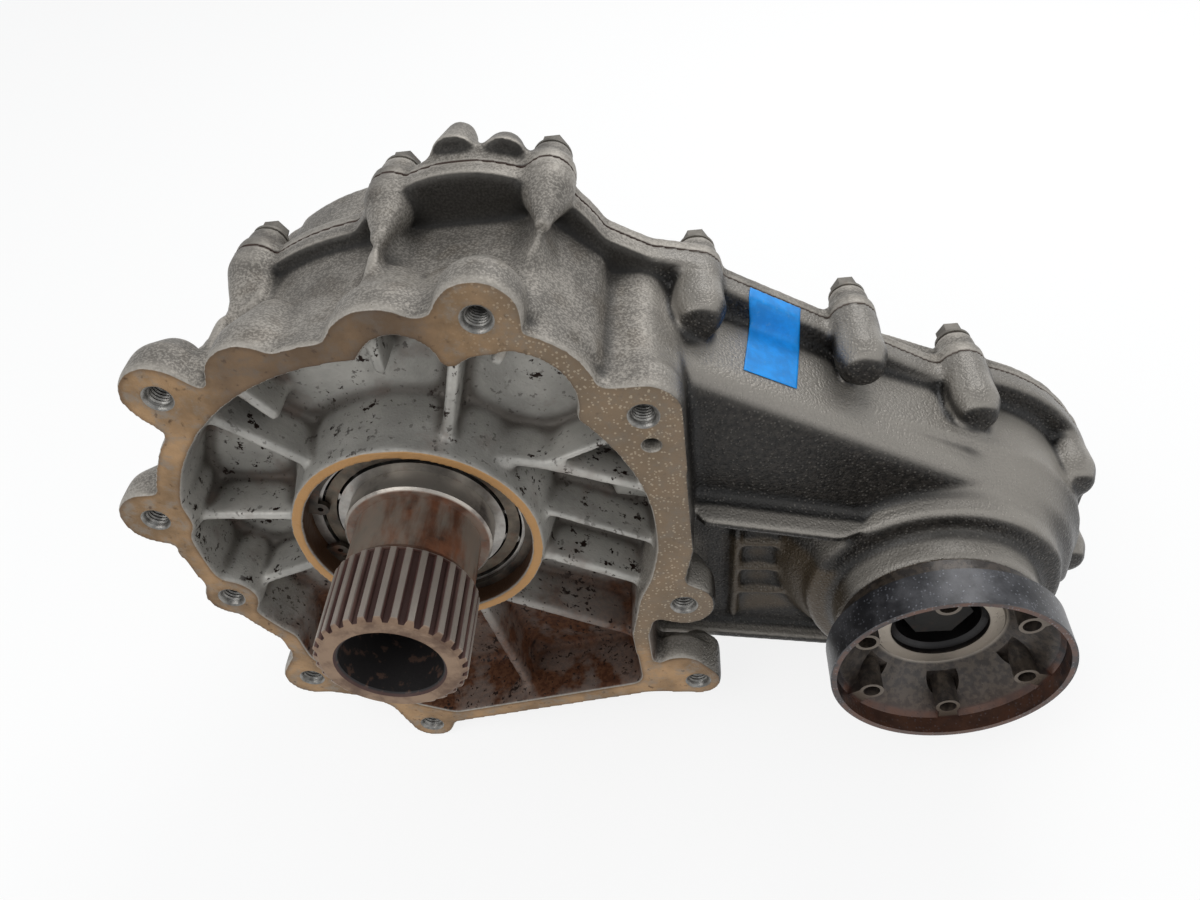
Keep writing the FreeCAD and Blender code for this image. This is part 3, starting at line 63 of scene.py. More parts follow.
# Lengths and places are in metres. Tapped holes of the bell face, as (x, z).
TAPPED = [
    (-0.0853, 0.0979), (-0.1205, 0.0252), (-0.1079, -0.0358), (-0.0911, -0.1109),
    (-0.0353, -0.1642), (0.1239, -0.1289), (0.1212, -0.0603), (0.1139, 0.0689), (0.056, 0.1243),
]
HOLE_REACH, HOLE_DEPTH, HOLE_FACE, HOLE_CLEAR = 0.0080, 0.0232, 0.0009, 0.0090
HOLE_MOUTH, HOLE_WALL = 0.0069, 0.0066
THREAD_DEPTH, THREAD_START, THREAD_ROOT, THREAD_HEIGHT = 0.0195, 0.0015, 0.0045, 0.0009
COUNTERSINK = ((0.0070, 0.0), (0.0068, 0.00005), (0.0055, 0.0013))

# Axes of the towers that a rib carries on towards the bell face, how far they shrink there, and the
# limits between which they do: from the axis, over the case, from the seam and from the lip.
RIBBED = [(-0.067, 0.101), (0.008, 0.130), (0.078, 0.130)]
TOWER_SHRINK = 0.62
TOWER_REACH, TOWER_FOOT, CASE_SAG = (0.0165, 0.0135), (0.1185, 0.1225), 0.0015
TOWER_BACK, TOWER_FRONT = (0.0795, 0.0600), (0.0420, 0.0500)

# Ends of the chain case's ledge, as (x, z), how far its front edge runs forward, and the limits
# between which it does: across it, at its left end, towards the output nose and in depth.
LEDGE = [(0.118, -0.009), (0.274, -0.052)]
LEDGE_REACH = 0.0075
LEDGE_WIDTH, LEDGE_LEFT = (0.0075, 0.0050), (0.1315, 0.1325)
LEDGE_NOSE, LEDGE_DEPTH = (0.062, 0.070), (0.0275, 0.0190)

# Machined stretches of the castings: slack of a face, then radii and depths of the bores.
FACE_SLACK, SEAM_SLACK = 0.0007, 0.0008
BOSS_BORE, BOSS_BORE_DEPTH, BOSS_RING = 0.0575, 0.033, 0.0525
OUT_BORE, OUT_BORE_DEPTH = 0.0405, 0.05
REAR_FACE, REAR_BORE, REAR_BORE_START, FOOT_FACE = 0.1853, 0.0465, 0.15, -0.1766

# Segments, least angle and widths of the bevels on machined corners.
EASE_SEGMENTS, EASE_ANGLE = 2, math.radians(35.0)
EASE_FLANGE, EASE_FASTENER, EASE_SPLINES, EASE_RING = 0.0007, 0.0005, 0.00035, 0.0003

# Passes and shares of the castings' smoothing.
FILL_SHARE, SLIDE_SHARE = 0.75, 0.5
CALM_PASSES, SPREAD_PASSES = 12, 2

# Soft limits of painted zones. A mask is 0 at the first value of a pair and 1 at the second.
GRIME_DEPTH = (0.030, 0.062)
LIP_BACK, LIP_TOP, LIP_END = (0.062, 0.072), (-0.01, 0.05), (0.150, 0.125)
SEAM_LINE = (0.0013, 0.0005)
OIL_START, SHOULDER_DEPTH = (0.128, 0.150), (0.085, 0.070)
PANEL_LEFT, PANEL_RIGHT = (0.140, 0.148), (0.205, 0.195)
PANEL_TOP, PANEL_FOOT, PANEL_DEPTH = (-0.056, -0.062), (-0.13, -0.122), (0.058, 0.050)
BEHIND_FACE, POCKET_FLOOR, BELL_WALL = (0.0003, 0.0012), (0.0365, 0.0345), (0.1135, 0.1085)
SKIRT_LEFT, SKIRT_RIGHT = (-0.098, -0.093), (0.104, 0.100)
SKIRT_TOP, SKIRT_FOOT = (-0.062, -0.068), (-0.160, -0.156)
STAIN_RISE = (-0.030, -0.105)
FACE_DEPTH, BEADS_LEFT, BEADS_FOOT = (0.0011, 0.0004), (0.03, 0.09), (-0.105, -0.085)
DUSK_LEFT, DUSK_RIGHT, DUSK_FOOT = (-0.075, -0.050), (0.050, 0.030), (0.080, 0.100)
RING_INSIDE, RING_OUTSIDE = (0.0535, 0.0540), (0.0615, 0.0605)
MOUTH_WALL, MOUTH_START, MOUTH_END = (0.0575, 0.0560), (0.0004, 0.0014), (0.034, 0.032)
NECK_FRONT, NECK_BACK, COLLAR_START = (-0.0335, -0.0285), (0.0012, 0.0002), (0.0004, 0.0012)
TEETH_START, TEETH_CREST, TEETH_GROOVE = (-0.0275, -0.0325), (0.0322, 0.0328), (0.0318, 0.0308)
SHAFT_END, SHAFT_BORE = (-0.0660, -0.0680), (0.0236, 0.0228)
WALL_INSIDE, WALL_OUTSIDE, RIM_START = (0.0505, 0.0530), (0.0568, 0.0560), (0.0535, 0.0545)
CUP_WALL, CUP_FRONT, CUP_BACK = (0.0525, 0.0505), (-0.024, -0.0225), (0.040, 0.055)
BOSS_FRONT, BOSS_REACH = (-0.0222, -0.0226), (0.0525, 0.0510)
HUB_INSIDE, HUB_OUTSIDE = (0.0225, 0.0240), (0.0335, 0.0320)
THROAT_WALL, THROAT_START = (0.0250, 0.0238), (-0.004, -0.001)

# Colours of dirt, oil, rust and wear, some with painted shade, that lie over the pieces' own
# colours.
EARTH, SHADE, GRIME = (0.135, 0.112, 0.086), (0.075, 0.066, 0.055), (0.050, 0.043, 0.036)
HOLLOW_DIRT_AND_SHADE, PIT, LIP_GRIME_AND_SHADE = (0.014, 0.012, 0.010), (0.015, 0.014, 0.013), (0.008, 0.007, 0.006)
SEAM_RUST, PANEL_TAR = (0.040, 0.018, 0.011), (0.085, 0.060, 0.034)
DEEP_OIL_AND_SHADE = (0.004, 0.0035, 0.003)
POCKET_DIRT_AND_SHADE, BLACK_SCALE = (0.055, 0.042, 0.032), (0.020, 0.010, 0.007)
STAIN_DARK, STAIN_LIGHT = (0.070, 0.026, 0.012), (0.120, 0.050, 0.024)
FACE_GREY, FACE_EDGE, FACE_SPECK = (0.27, 0.235, 0.195), (0.11, 0.062, 0.034), (0.075, 0.040, 0.022)
BEAD_GROUND, BEAD, DUSK = (0.175, 0.138, 0.100), (0.38, 0.325, 0.245), (0.085, 0.060, 0.044)
GOLDEN, MOUTH_RUST = (0.56, 0.31, 0.12), (0.10, 0.052, 0.028)
RUST_SPECK, NECK_RUB = (0.028, 0.016, 0.012), (0.25, 0.225, 0.185)
GROOVE_RUST, COLLAR_STAIN = (0.050, 0.024, 0.020), (0.12, 0.10, 0.09)
VIOLET_DARK, VIOLET_LIGHT = (0.085, 0.040, 0.040), (0.20, 0.125, 0.110)
END_LIGHT, END_DARK = (0.30, 0.20, 0.13), (0.13, 0.075, 0.048)
BORE_BLACK, BORE_SPECK = (0.012, 0.010, 0.010), (0.075, 0.042, 0.030)
RIM_DARK, RIM_LIGHT, RIM_DROP = (0.022, 0.022, 0.025), (0.085, 0.085, 0.092), (0.24, 0.25, 0.28)
CUP_DARK, CUP_LIGHT, BOSS_TAN = (0.036, 0.026, 0.018), (0.090, 0.068, 0.048), (0.130, 0.102, 0.076)
HUB_EDGE, THROAT_OIL_AND_SHADE = (0.42, 0.37, 0.31), (0.006, 0.005, 0.005)
RUBBER, DUST, SCUFF = (0.020, 0.020, 0.021), (0.075, 0.066, 0.056), (0.10, 0.33, 0.62)

# Label: x of its middle, y of its upper and lower ends, how far it leans, then its mesh's rows,
# columns and smoothing passes, and the film's thickness.
LABEL_X, LABEL_TOP, LABEL_FOOT, LABEL_LEAN = 0.175, 0.0885, 0.0435, 0.14
LABEL_ROWS, LABEL_COLUMNS, LABEL_PASSES, FILM_THICKNESS = 64, 30, 10, 0.0002
ABOVE_ALL = 0.2

# Studio: half the floor's side, the white that the camera sees (and gloss, of the floor), the sky's
# own light, the soft boxes with their shares of the key's power and their sizes, and the camera's
# place with the ways it looks and leans.
FLOOR_SIDE = 30.0
WHITE, FLOOR_GLOW, FLOOR_GLOW_SHARE = (1.0, 1.0, 1.0), 1.05, 0.80
SKY, SKY_LIGHT = (0.93, 0.96, 1.0), 0.55
SOFT_BOXES = [
    ("key_box", (-0.55, -0.75, 1.15), 1.0, 0.9),
    ("rim_box", (0.55, 0.95, 0.95), 1.1, 0.8),
    ("fill_box", (0.95, -0.75, 0.35), 0.25, 0.8),
]
CAMERA_PLACE = (0.1438, -0.2985, 0.3404)
CAMERA_AHEAD, CAMERA_RIGHT = (-0.1202, 0.7133, -0.6904), (0.990, 0.040, -0.132)
LAMP_AIM = (0.1, 0.05, -0.03)


# ---------------------------------------------------------------- sizes and colours to change


class CastingSettings(bpy.types.PropertyGroup):
    voxel: FloatProperty(
        name="Mesh size", description="Edge length of the castings' mesh", default=0.0014,
        unit="LENGTH")
    fillet_rounds: IntProperty(
        name="Fillet rounds", description="Passes that fill the castings' inner corners",
        default=16)
    edge_ease: FloatProperty(
        name="Edge ease", description="How much outer edges are eased against inner corners",
        default=0.3)
    alloy: FloatVectorProperty(
        name="Alloy", description="Colour of the sand-cast skin", subtype="COLOR", size=3,
        default=(0.285, 0.262, 0.230))
    oil: FloatVectorProperty(
        name="Oil film", description="Colour of the oily chain case", subtype="COLOR", size=3,
        default=(0.022, 0.019, 0.016))
    face: FloatVectorProperty(
        name="Machined face", description="Colour of the oxidised bell face", subtype="COLOR",
        size=3, default=(0.37, 0.235, 0.125))
    pocket: FloatVectorProperty(
        name="Bell pocket", description="Colour of the clean casting inside the bell",
        subtype="COLOR", size=3, default=(0.46, 0.445, 0.41))


class SteelSettings(bpy.types.PropertyGroup):
    rust: FloatVectorProperty(
        name="Rust", description="Colour of rust on the bare steel", subtype="COLOR", size=3,
        default=(0.115, 0.045, 0.022))
    bright: FloatVectorProperty(
        name="Bright steel", description="Colour of worn and ground steel", subtype="COLOR", size=3,
        default=(0.46, 0.42, 0.37))
    thread_pitch: FloatProperty(
        name="Thread pitch", description="Pitch of the tapped holes", default=0.00175,
        unit="LENGTH")


class LabelSettings(bpy.types.PropertyGroup):
    film: FloatVectorProperty(
        name="Label film", description="Colour of the bare label", subtype="COLOR", size=3,
        default=(0.0, 0.27, 0.78))
    width: FloatProperty(name="Label width", description="Width of the label", default=0.0235,
                         unit="LENGTH")
    lift: FloatProperty(
        name="Label lift", description="Height of the film over the casting", default=0.0006,
        unit="LENGTH")


class StageSettings(bpy.types.PropertyGroup):
    floor: FloatVectorProperty(
        name="Floor", description="Colour of the studio floor", subtype="COLOR", size=3,
        default=(0.80, 0.80, 0.79))
    lens: FloatProperty(name="Lens", description="Focal length of the camera", default=29.55,
                        unit="CAMERA")
    key_power: FloatProperty(name="Key power", description="Power of the main soft box",
                             default=7.0, unit="POWER")


# ---------------------------------------------------------------- shader maths


class Wire:
    """An output socket of a material that Python expressions can work on."""

    def __init__(self, paint, socket):
        self.paint = paint
        self.socket = socket

    def maths(self, operation, *values):
        return self.paint.node("ShaderNodeMath", {"operation": operation}, dict(enumerate(values)))

    def __add__(self, other):
        return self.maths("ADD", self, other)

    __radd__ = __add__

    def __sub__(self, other):
        return self.maths("SUBTRACT", self, other)

    def __rsub__(self, other):
        return self.maths("SUBTRACT", other, self)

    def __mul__(self, other):
        return self.maths("MULTIPLY", self, other)

    __rmul__ = __mul__

    def magnitude(self):
        return self.maths("ABSOLUTE", self)

    def most(self, other):
        return self.maths("MAXIMUM", self, other)

    def least(self, other):
        return self.maths("MINIMUM", self, other)

    def root(self):
        return self.maths("SQRT", self)

    def step(self, low, high):
        """0 below low and 1 above high, with a soft passage; a falling step has low above high."""
        rising = self.paint.node(
            "ShaderNodeMapRange", {"interpolation_type": "SMOOTHSTEP"},
            {0: self, 1: min(low, high), 2: max(low, high), 3: 0.0, 4: 1.0})
        return rising if low < high else 1 - rising


class Paint:
    """A material or world whose nodes all come from one method; colours go through Mix nodes."""

    def __init__(self, owner):
        self.owner = owner
        owner.use_nodes = True
        self.tree = owner.node_tree
        self.tree.nodes.clear()

    def node(self, kind, settings=None, sockets=None, output=0):
        """Makes a node with its settings and sockets, and gives one output as a wire, if any."""
        made = self.tree.nodes.new(kind)
        for name, value in (settings or {}).items():
            setattr(made, name, value)
        for key, value in (sockets or {}).items():
            socket = made.inputs[key]
            if isinstance(value, Wire):
                self.tree.links.new(value.socket, socket)
            elif socket.type == "RGBA":
                socket.default_value = (*value, 1.0)
            else:
                socket.default_value = value
        return Wire(self, made.outputs[output]) if made.outputs else None

    def place(self):
        """Object coordinates."""
        return self.node("ShaderNodeTexCoord", output=3)

    def facing(self):
        """Direction that the surface faces."""
        return self.node("ShaderNodeTexCoord", output=1)

    def axes(self, vector):
        return [self.node("ShaderNodeSeparateXYZ", sockets={0: vector}, output=i) for i in range(3)]

    def attribute(self, name):
        return self.node("ShaderNodeAttribute", {"attribute_name": name}, output=2)

    def noise(self, scale, detail=4.0, roughness=0.55, stretch=None):
        where = self.place()
        if stretch is not None:
            where = self.node("ShaderNodeVectorMath", {"operation": "MULTIPLY"},
                              {0: where, 1: stretch})
        return self.node("ShaderNodeTexNoise", sockets={
            "Vector": where, "Scale": scale, "Detail": detail, "Roughness": roughness})

    def cells(self, scale, output=0):
        """Distance to the nearest cell's middle, or with output 1 a colour for each cell."""
        return self.node("ShaderNodeTexVoronoi", sockets={"Vector": self.place(), "Scale": scale},
                         output=output)

    def mix(self, share, first, second):
        """The first colour where share is 0 and the second where it is 1."""
        return self.node("ShaderNodeMix", {"data_type": "RGBA"}, {0: share, 6: first, 7: second},
                         output=2)

    def bump(self, height, distance, strength):
        return self.node("ShaderNodeBump", sockets={
            "Strength": strength, "Distance": distance, "Height": height})

    def droplets(self, scale, share):
        """Height and mask of small round drops that sit on part of the cells of a fine pattern."""
        distance = self.cells(scale)
        chance = self.node("ShaderNodeSeparateColor", sockets={0: self.cells(scale, output=1)})
        soft = 0.02
        shown = chance.step(1 - share - soft, 1 - share + soft)
        mask = distance.step(0.36, 0.24) * shown
        return mask, mask * (1 - distance * distance * 4.0)

    def finish(self, colour, roughness, metallic, normal, coat=0.0, **constants):
        """Ends a material in one Principled shader; further sockets are named with underscores."""
        sockets = {"Base Color": colour, "Roughness": roughness, "Metallic": metallic,
                   "Coat Weight": coat, "Normal": normal}
        sockets.update({key.replace("_", " "): value for key, value in constants.items()})
        shader = self.node("ShaderNodeBsdfPrincipled", sockets=sockets)
        self.node("ShaderNodeOutputMaterial", sockets={"Surface": shader})
        return self.owner


def new_paint(name):
    return Paint(bpy.data.materials.new(name))


def settings(group):
    """The values that a user may change for one group of pieces."""
    return getattr(bpy.context.scene, "transfer_case_" + group)


def apart(first, second, x, z):
    """Distance of the point (first, second) from the axis at (x, z), as a wire."""
    return ((first - x) * (first - x) + (second - z) * (second - z)).root()


# ---------------------------------------------------------------- finishes


def casting_paint(name, oily):
    """Sand-cast aluminium: grey skin, oiled chain case, oxidised bell face, clean bell pocket."""
    look = settings("casting")
    p = new_paint(name)
    x, y, z = p.axes(p.place())
    _, ny, nz = p.axes(p.facing())
    cove, edge = p.attribute("cove"), p.attribute("edge")
    coarse, fine = p.noise(28, 5), p.noise(420, 3)
    grain = p.noise(900, 2, 0.6)
    pits = p.cells(520).step(0.20, 0.05) * p.noise(90, 2).step(0.5, 0.62)

    alloy = Vector(look.alloy)
    skin = p.mix(coarse.step(0.35, 0.68), tuple(alloy * 0.60), tuple(alloy * 1.15))
    skin = p.mix(p.noise(75, 4).step(0.50, 0.70) * 0.5, skin, EARTH)
    skin = p.mix(grain.step(0.46, 0.60) * 0.42, skin, SHADE)
    skin = p.mix(grain.step(0.52, 0.36) * 0.35, skin, tuple(alloy * 1.75))
    skin = p.mix(edge.step(0.12, 0.70) * (0.40 + 0.4 * fine), skin, tuple(alloy * 1.65))
    grime = p.noise(20, 4, 0.6).step(0.50, 0.68) * y.step(*GRIME_DEPTH)
    skin = p.mix(grime * 0.55, skin, GRIME)
    # dirt and painted shade: hollows of the skin are darkened near black
    skin = p.mix(cove.step(0.10, 0.55) * (0.55 + 0.45 * coarse), skin, HOLLOW_DIRT_AND_SHADE)
    skin = p.mix(pits * 0.8, skin, PIT)
    # grime and painted shade: the front-facing wall under the bell's lip is painted near black
    wall = ny.step(-0.30, -0.75) * y.step(*LIP_BACK) * z.step(*LIP_TOP) * x.step(*LIP_END)
    skin = p.mix(wall * (0.75 + 0.25 * coarse), skin, LIP_GRIME_AND_SHADE)
    seam = (y - SEAM_Y).magnitude().step(*SEAM_LINE)
    skin = p.mix(seam * 0.8, skin, SEAM_RUST)
    rough = 0.60 - 0.16 * fine + 0.1 * cove.step(0.05, 0.4)
    metal = 0.30 * (1 - cove.step(0.05, 0.45))
    coat = 0.0
    grainy = grain * 0.5 + fine * 0.8

    if oily:
        # the oil has crept over the chain case; its up-facing surfaces are painted lighter, as
        # painted light from above
        wet = (x + 0.03 * coarse).step(*OIL_START)
        top = nz.step(0.25, 0.75) * (1 - cove.step(0.06, 0.4))
        oil = Vector(look.oil)
        film = p.mix(fine.step(0.35, 0.7), tuple(oil * 0.40), tuple(oil * 1.5))
        # painted light: up-facing surfaces of the oily case are painted light tan-grey
        lit = nz.step(0.15, 0.85) * (1 - cove.step(0.10, 0.5))
        film = p.mix(lit * (0.60 + 0.30 * coarse), film, tuple(alloy * 1.05))
        # painted highlight: a lighter band along the chain case's rounded shoulder
        shoulder_highlight = nz.step(0.35, 0.60) * nz.step(0.97, 0.80) * y.step(*SHOULDER_DEPTH)
        film = p.mix(shoulder_highlight * 0.4, film, tuple(alloy * 1.5))
        panel = x.step(*PANEL_LEFT) * x.step(*PANEL_RIGHT) * y.step(*PANEL_DEPTH)
        panel = panel * z.step(*PANEL_TOP) * z.step(*PANEL_FOOT)
        film = p.mix(panel * 0.75, film, PANEL_TAR)
        # oil and painted shade: hollows of the oily case are darkened near black
        film = p.mix(cove.step(0.08, 0.45) * 0.9, film, DEEP_OIL_AND_SHADE)
        drop, dome = p.droplets(560, 0.55)
        # beads of oil with painted highlights: drops are painted lighter, most on up-facing
        # surfaces
        film = p.mix(drop * 0.45 * top.most(0.35), film, tuple(alloy * 1.3))
        skin = p.mix(wet, skin, film)
        rough = rough * (1 - wet) + wet * (0.34 - 0.12 * drop + 0.16 * coarse)
        coat = wet * 0.22
        pebbles = p.cells(760)
        grainy = grainy + wet * (dome * 1.3 + 1.1 * (1 - pebbles * pebbles))

        # bell pocket: clean grey with black scale, rust-stained towards the bottom
        ring = apart(x, z, 0, 0)
        deep = y.step(*POCKET_FLOOR) * y.step(*BEHIND_FACE)
        low = z.step(*STAIN_RISE)
        skirt = x.step(*SKIRT_LEFT) * x.step(*SKIRT_RIGHT)
        skirt = skirt * z.step(*SKIRT_TOP) * z.step(*SKIRT_FOOT)
        inside = deep * ring.step(*BELL_WALL).most(skirt)
        pocket = Vector(look.pocket)
        clean = p.mix(coarse.step(0.3, 0.7), tuple(pocket * 0.72), tuple(pocket * 1.15))
        # dirt and painted shade: hollows of the bell pocket are darkened
        clean = p.mix(cove.step(0.05, 0.45) * 0.8, clean, POCKET_DIRT_AND_SHADE)
        scale = p.noise(170, 3, 0.7).step(0.58, 0.64) * p.noise(34, 2).step(0.43, 0.56)
        stain = (low + 0.5 * p.noise(45, 4).step(0.45, 0.7) - 0.2).most(0.0).least(1.0)
        clean = p.mix(stain, clean, p.mix(fine.step(0.4, 0.6), STAIN_DARK, STAIN_LIGHT))
        specks = p.noise(330, 2).step(0.62, 0.68) * (0.45 + low)
        clean = p.mix((scale + specks).least(1.0), clean, BLACK_SCALE)
        skin = p.mix(inside, skin, clean)
        rough = rough * (1 - inside) + inside * (0.46 + 0.2 * fine)
        metal = metal * (1 - inside) + inside * (0.55 - 0.5 * stain)

        # machined bell face and boss ring: oxidised orange-tan with a darker rim
        flat = y.step(*FACE_DEPTH) * ny.step(-0.75, -0.92)
        face = Vector(look.face)
        tan = p.mix(p.noise(36, 5, 0.6).step(0.35, 0.7), tuple(face * 0.62), tuple(face * 1.25))
        tan = p.mix(p.noise(95, 4, 0.7).step(0.46, 0.68) * 0.75, tan, FACE_GREY)
        tan = p.mix(edge.step(0.15, 0.8) * 0.5, tan, FACE_EDGE)
        tan = p.mix(p.noise(230, 3).step(0.60, 0.72) * 0.7, tan, FACE_SPECK)
        right = x.step(*BEADS_LEFT) * z.step(*BEADS_FOOT)
        beads = p.droplets(560, 0.70)[0]
        tan = p.mix(right * 0.75, tan, p.mix(beads, BEAD_GROUND, BEAD))
        dusky = z.step(*DUSK_FOOT) * x.step(*DUSK_RIGHT) * x.step(*DUSK_LEFT)
        tan = p.mix(dusky * 0.65, tan, DUSK)
        golden = ring.step(*RING_INSIDE) * ring.step(*RING_OUTSIDE)
        tan = p.mix(golden * 0.75, tan, GOLDEN)
        skin = p.mix(flat, skin, tan)
        rough = rough * (1 - flat) + flat * (0.48 + 0.2 * coarse)
        metal = metal * (1 - flat) + flat * 0.45
        # the bore of the boss behind its ring is rusty and dark
        mouth = ring.step(*MOUTH_WALL) * y.step(*MOUTH_START) * y.step(*MOUTH_END)
        skin = p.mix(mouth, skin, MOUTH_RUST)
    relief = p.bump(grainy, 0.0006, 0.55)
    return p.finish(skin, rough, metal, relief, coat, Coat_Roughness=0.30, Specular_IOR_Level=0.28)


def shaft_paint():
    """Input shaft: rusted neck, bright collar and purple-brown splines whose crests are worn bright
    and carry painted highlights.
    """
    steel = settings("steel")
    p = new_paint("splined_steel")
    x, y, z = p.axes(p.place())
    ny = p.axes(p.facing())[1]
    ring = apart(x, z, 0, 0)
    streaks = p.noise(60, 5, 0.6, (1, 0.25, 1))
    blotch = p.noise(55, 5, 0.65)
    rust, bright = Vector(steel.rust), Vector(steel.bright)
    body = p.mix(blotch.step(0.3, 0.7), tuple(rust * 0.7), tuple(rust * 2.1))
    body = p.mix(p.noise(190, 4).step(0.55, 0.72) * 0.6, body, RUST_SPECK)
    neck = y.step(*NECK_FRONT) * y.step(*NECK_BACK)
    body = p.mix(neck * streaks.step(0.38, 0.6) * 0.75, body, NECK_RUB)
    teeth = y.step(*TEETH_START)
    violet = p.mix(streaks.step(0.35, 0.65), VIOLET_DARK, VIOLET_LIGHT)
    body = p.mix(teeth * 0.8, body, violet)
    # worn steel and painted highlight: the splines' crests are painted bright
    crest_wear_and_highlight = ring.step(*TEETH_CREST) * teeth
    body = p.mix(crest_wear_and_highlight * (0.45 + 0.5 * streaks), body, tuple(bright * 1.25))
    groove = ring.step(*TEETH_GROOVE) * teeth
    body = p.mix(groove * 0.75, body, GROOVE_RUST)
    collar = y.step(*COLLAR_START)
    body = p.mix(collar, body, p.mix(blotch.step(0.45, 0.75), tuple(bright), COLLAR_STAIN))
    end = ny.step(-0.7, -0.9) * y.step(*SHAFT_END)
    body = p.mix(end, body, p.mix(blotch.step(0.4, 0.65), END_LIGHT, END_DARK))
    bore = ring.step(*SHAFT_BORE) * (1 - end)
    speck = p.noise(210, 3).step(0.56, 0.66)
    body = p.mix(bore, body, p.mix(speck, BORE_BLACK, BORE_SPECK))
    rough = 0.52 + 0.2 * blotch - 0.2 * collar - 0.12 * crest_wear_and_highlight
    metal = 0.30 + 0.5 * collar.most(crest_wear_and_highlight)
    height = p.noise(420, 3) * 0.6 + blotch * 0.8
    return p.finish(body, rough, metal * (1 - bore), p.bump(height, 0.0004, 0.5))


def joint_flange_paint():
    """Front flange: wet blue-black rim, rusty inside wall, oily cup and bright hub edge."""
    p = new_paint("joint_flange_steel")
    x, y, z = p.axes(p.place())
    ny = p.axes(p.facing())[1]
    ring = apart(x, z, OUT_X, OUT_Z)
    blotch, fine = p.noise(60, 5, 0.65), p.noise(300, 3)
    body = p.mix(blotch.step(0.35, 0.7), RIM_DARK, RIM_LIGHT)
    rust = Vector(settings("steel").rust)
    wall = ring.step(*WALL_INSIDE) * ring.step(*WALL_OUTSIDE)
    body = p.mix(wall * blotch.step(0.35, 0.6) * 0.8, body, tuple(rust * 1.15))
    low = z.step(OUT_Z - 0.005, OUT_Z - 0.045)
    body = p.mix(low * ring.step(*CUP_BACK) * 0.6, body, tuple(rust * 0.8))
    cup = ring.step(*CUP_WALL) * y.step(*CUP_FRONT)
    body = p.mix(cup * 0.7, body, p.mix(fine.step(0.4, 0.6), CUP_DARK, CUP_LIGHT))
    bosses = y.step(*BOSS_FRONT) * ny.step(-0.6, -0.9) * ring.step(*BOSS_REACH)
    body = p.mix(bosses * 0.9, body, BOSS_TAN)
    hub = ring.step(*HUB_INSIDE) * ring.step(*HUB_OUTSIDE) * ny.step(-0.5, -0.9)
    body = p.mix(hub, body, HUB_EDGE)
    drop, dome = p.droplets(640, 0.45)
    rim = ring.step(*RIM_START)
    body = p.mix(drop * rim * 0.35, body, RIM_DROP)
    # oil and painted shade: the flange's throat is painted near black
    throat = ring.step(*THROAT_WALL) * y.step(*THROAT_START)
    body = p.mix(throat, body, THROAT_OIL_AND_SHADE)
    rough = 0.34 + 0.25 * blotch - 0.1 * drop
    metal = 0.45 + 0.4 * hub
    relief = p.bump(fine * 0.5 + dome * 0.8 + blotch, 0.0004, 0.5)
    return p.finish(body, rough, metal, relief, 0.25, Coat_Roughness=0.2)


def steel_paint(name, dark, light, roughness, metallic, rusty=0.0, scale=70.0):
    """Bare or plated steel with blotches, fine scratches and some rust."""
    p = new_paint(name)
    blotch, fine = p.noise(scale, 5, 0.6), p.noise(scale * 7, 3)
    body = p.mix(blotch.step(0.3, 0.7), dark, light)
    rust = tuple(Vector(settings("steel").rust) * 1.3)
    body = p.mix(p.noise(scale * 2.2, 4, 0.7).step(0.50, 0.68) * rusty, body, rust)
    rough = roughness + 0.18 * (blotch - 0.5) + 0.08 * fine
    return p.finish(body, rough, metallic, p.bump(fine + blotch, 0.0003, 0.35))


def rubber_paint():
    """Seal rubber with dust."""
    p = new_paint("seal_rubber")
    dust = p.noise(160, 4).step(0.45, 0.75)
    body = p.mix(dust * 0.5, RUBBER, DUST)
    return p.finish(body, 0.42 + 0.25 * dust, 0.0, p.bump(p.noise(500, 2), 0.0002, 0.3))


def label_paint():
    """Blue film with scuffs, lighter patches and shallow creases."""
    p = new_paint("label_film")
    film = Vector(settings("label").film)
    scuff = p.noise(120, 4, 0.65)
    body = p.mix(scuff.step(0.35, 0.7), tuple(film * 0.85),
                 tuple(film * 1.12 + Vector((0.0, 0.02, 0.03))))
    body = p.mix(p.noise(340, 3).step(0.62, 0.72) * 0.35, body, SCUFF)
    return p.finish(body, 0.42 + 0.2 * scuff, 0.0, p.bump(p.noise(90, 3), 0.0006, 0.4))


# Words in a node's name, then the finish of such nodes: its name, dark and light colours,
# roughness, metallic share and rust. The first words that fit count.
GEAR_FINISHES = [
    (("race", "rollers"),
     ("ground_steel", (0.20, 0.19, 0.18), (0.42, 0.40, 0.37), 0.30, 0.9, 0.25)),
    (("gear", "sprocket", "carrier", "planet_pins"),
     ("oiled_gear_steel", (0.14, 0.13, 0.12), (0.34, 0.33, 0.31), 0.26, 0.9, 0.05)),
    (("chain",),
     ("blackened_chain_steel", (0.035, 0.033, 0.031), (0.12, 0.115, 0.11), 0.32, 0.8, 0.05)),
    (("snap_ring",),
     ("spring_steel", (0.030, 0.026, 0.022), (0.115, 0.095, 0.075), 0.40, 0.7, 0.45)),
    (("bolts", "dowels", "plug"),
     ("plated_steel", (0.110, 0.100, 0.085), (0.250, 0.230, 0.200), 0.55, 0.35, 0.2)),
    (("cage",),
     ("cage_steel", (0.040, 0.034, 0.028), (0.170, 0.140, 0.105), 0.38, 0.75, 0.3)),
    (("breather",),
     ("vent_plastic", (0.016, 0.016, 0.017), (0.055, 0.052, 0.048), 0.55, 0.0, 0.0)),
]


# ---------------------------------------------------------------- mesh work


def link(name, mesh):
    piece = bpy.data.objects.new(name, mesh)
    bpy.context.scene.collection.objects.link(piece)
    return piece


def vertex_rows(mesh, field):
    """One row of three numbers for each vertex: its place ("co") or the way it faces ("normal")."""
    rows = np.empty(len(mesh.vertices) * 3, np.float32)
    mesh.vertices.foreach_get(field, rows)
    return rows.reshape(-1, 3).astype(np.float64)


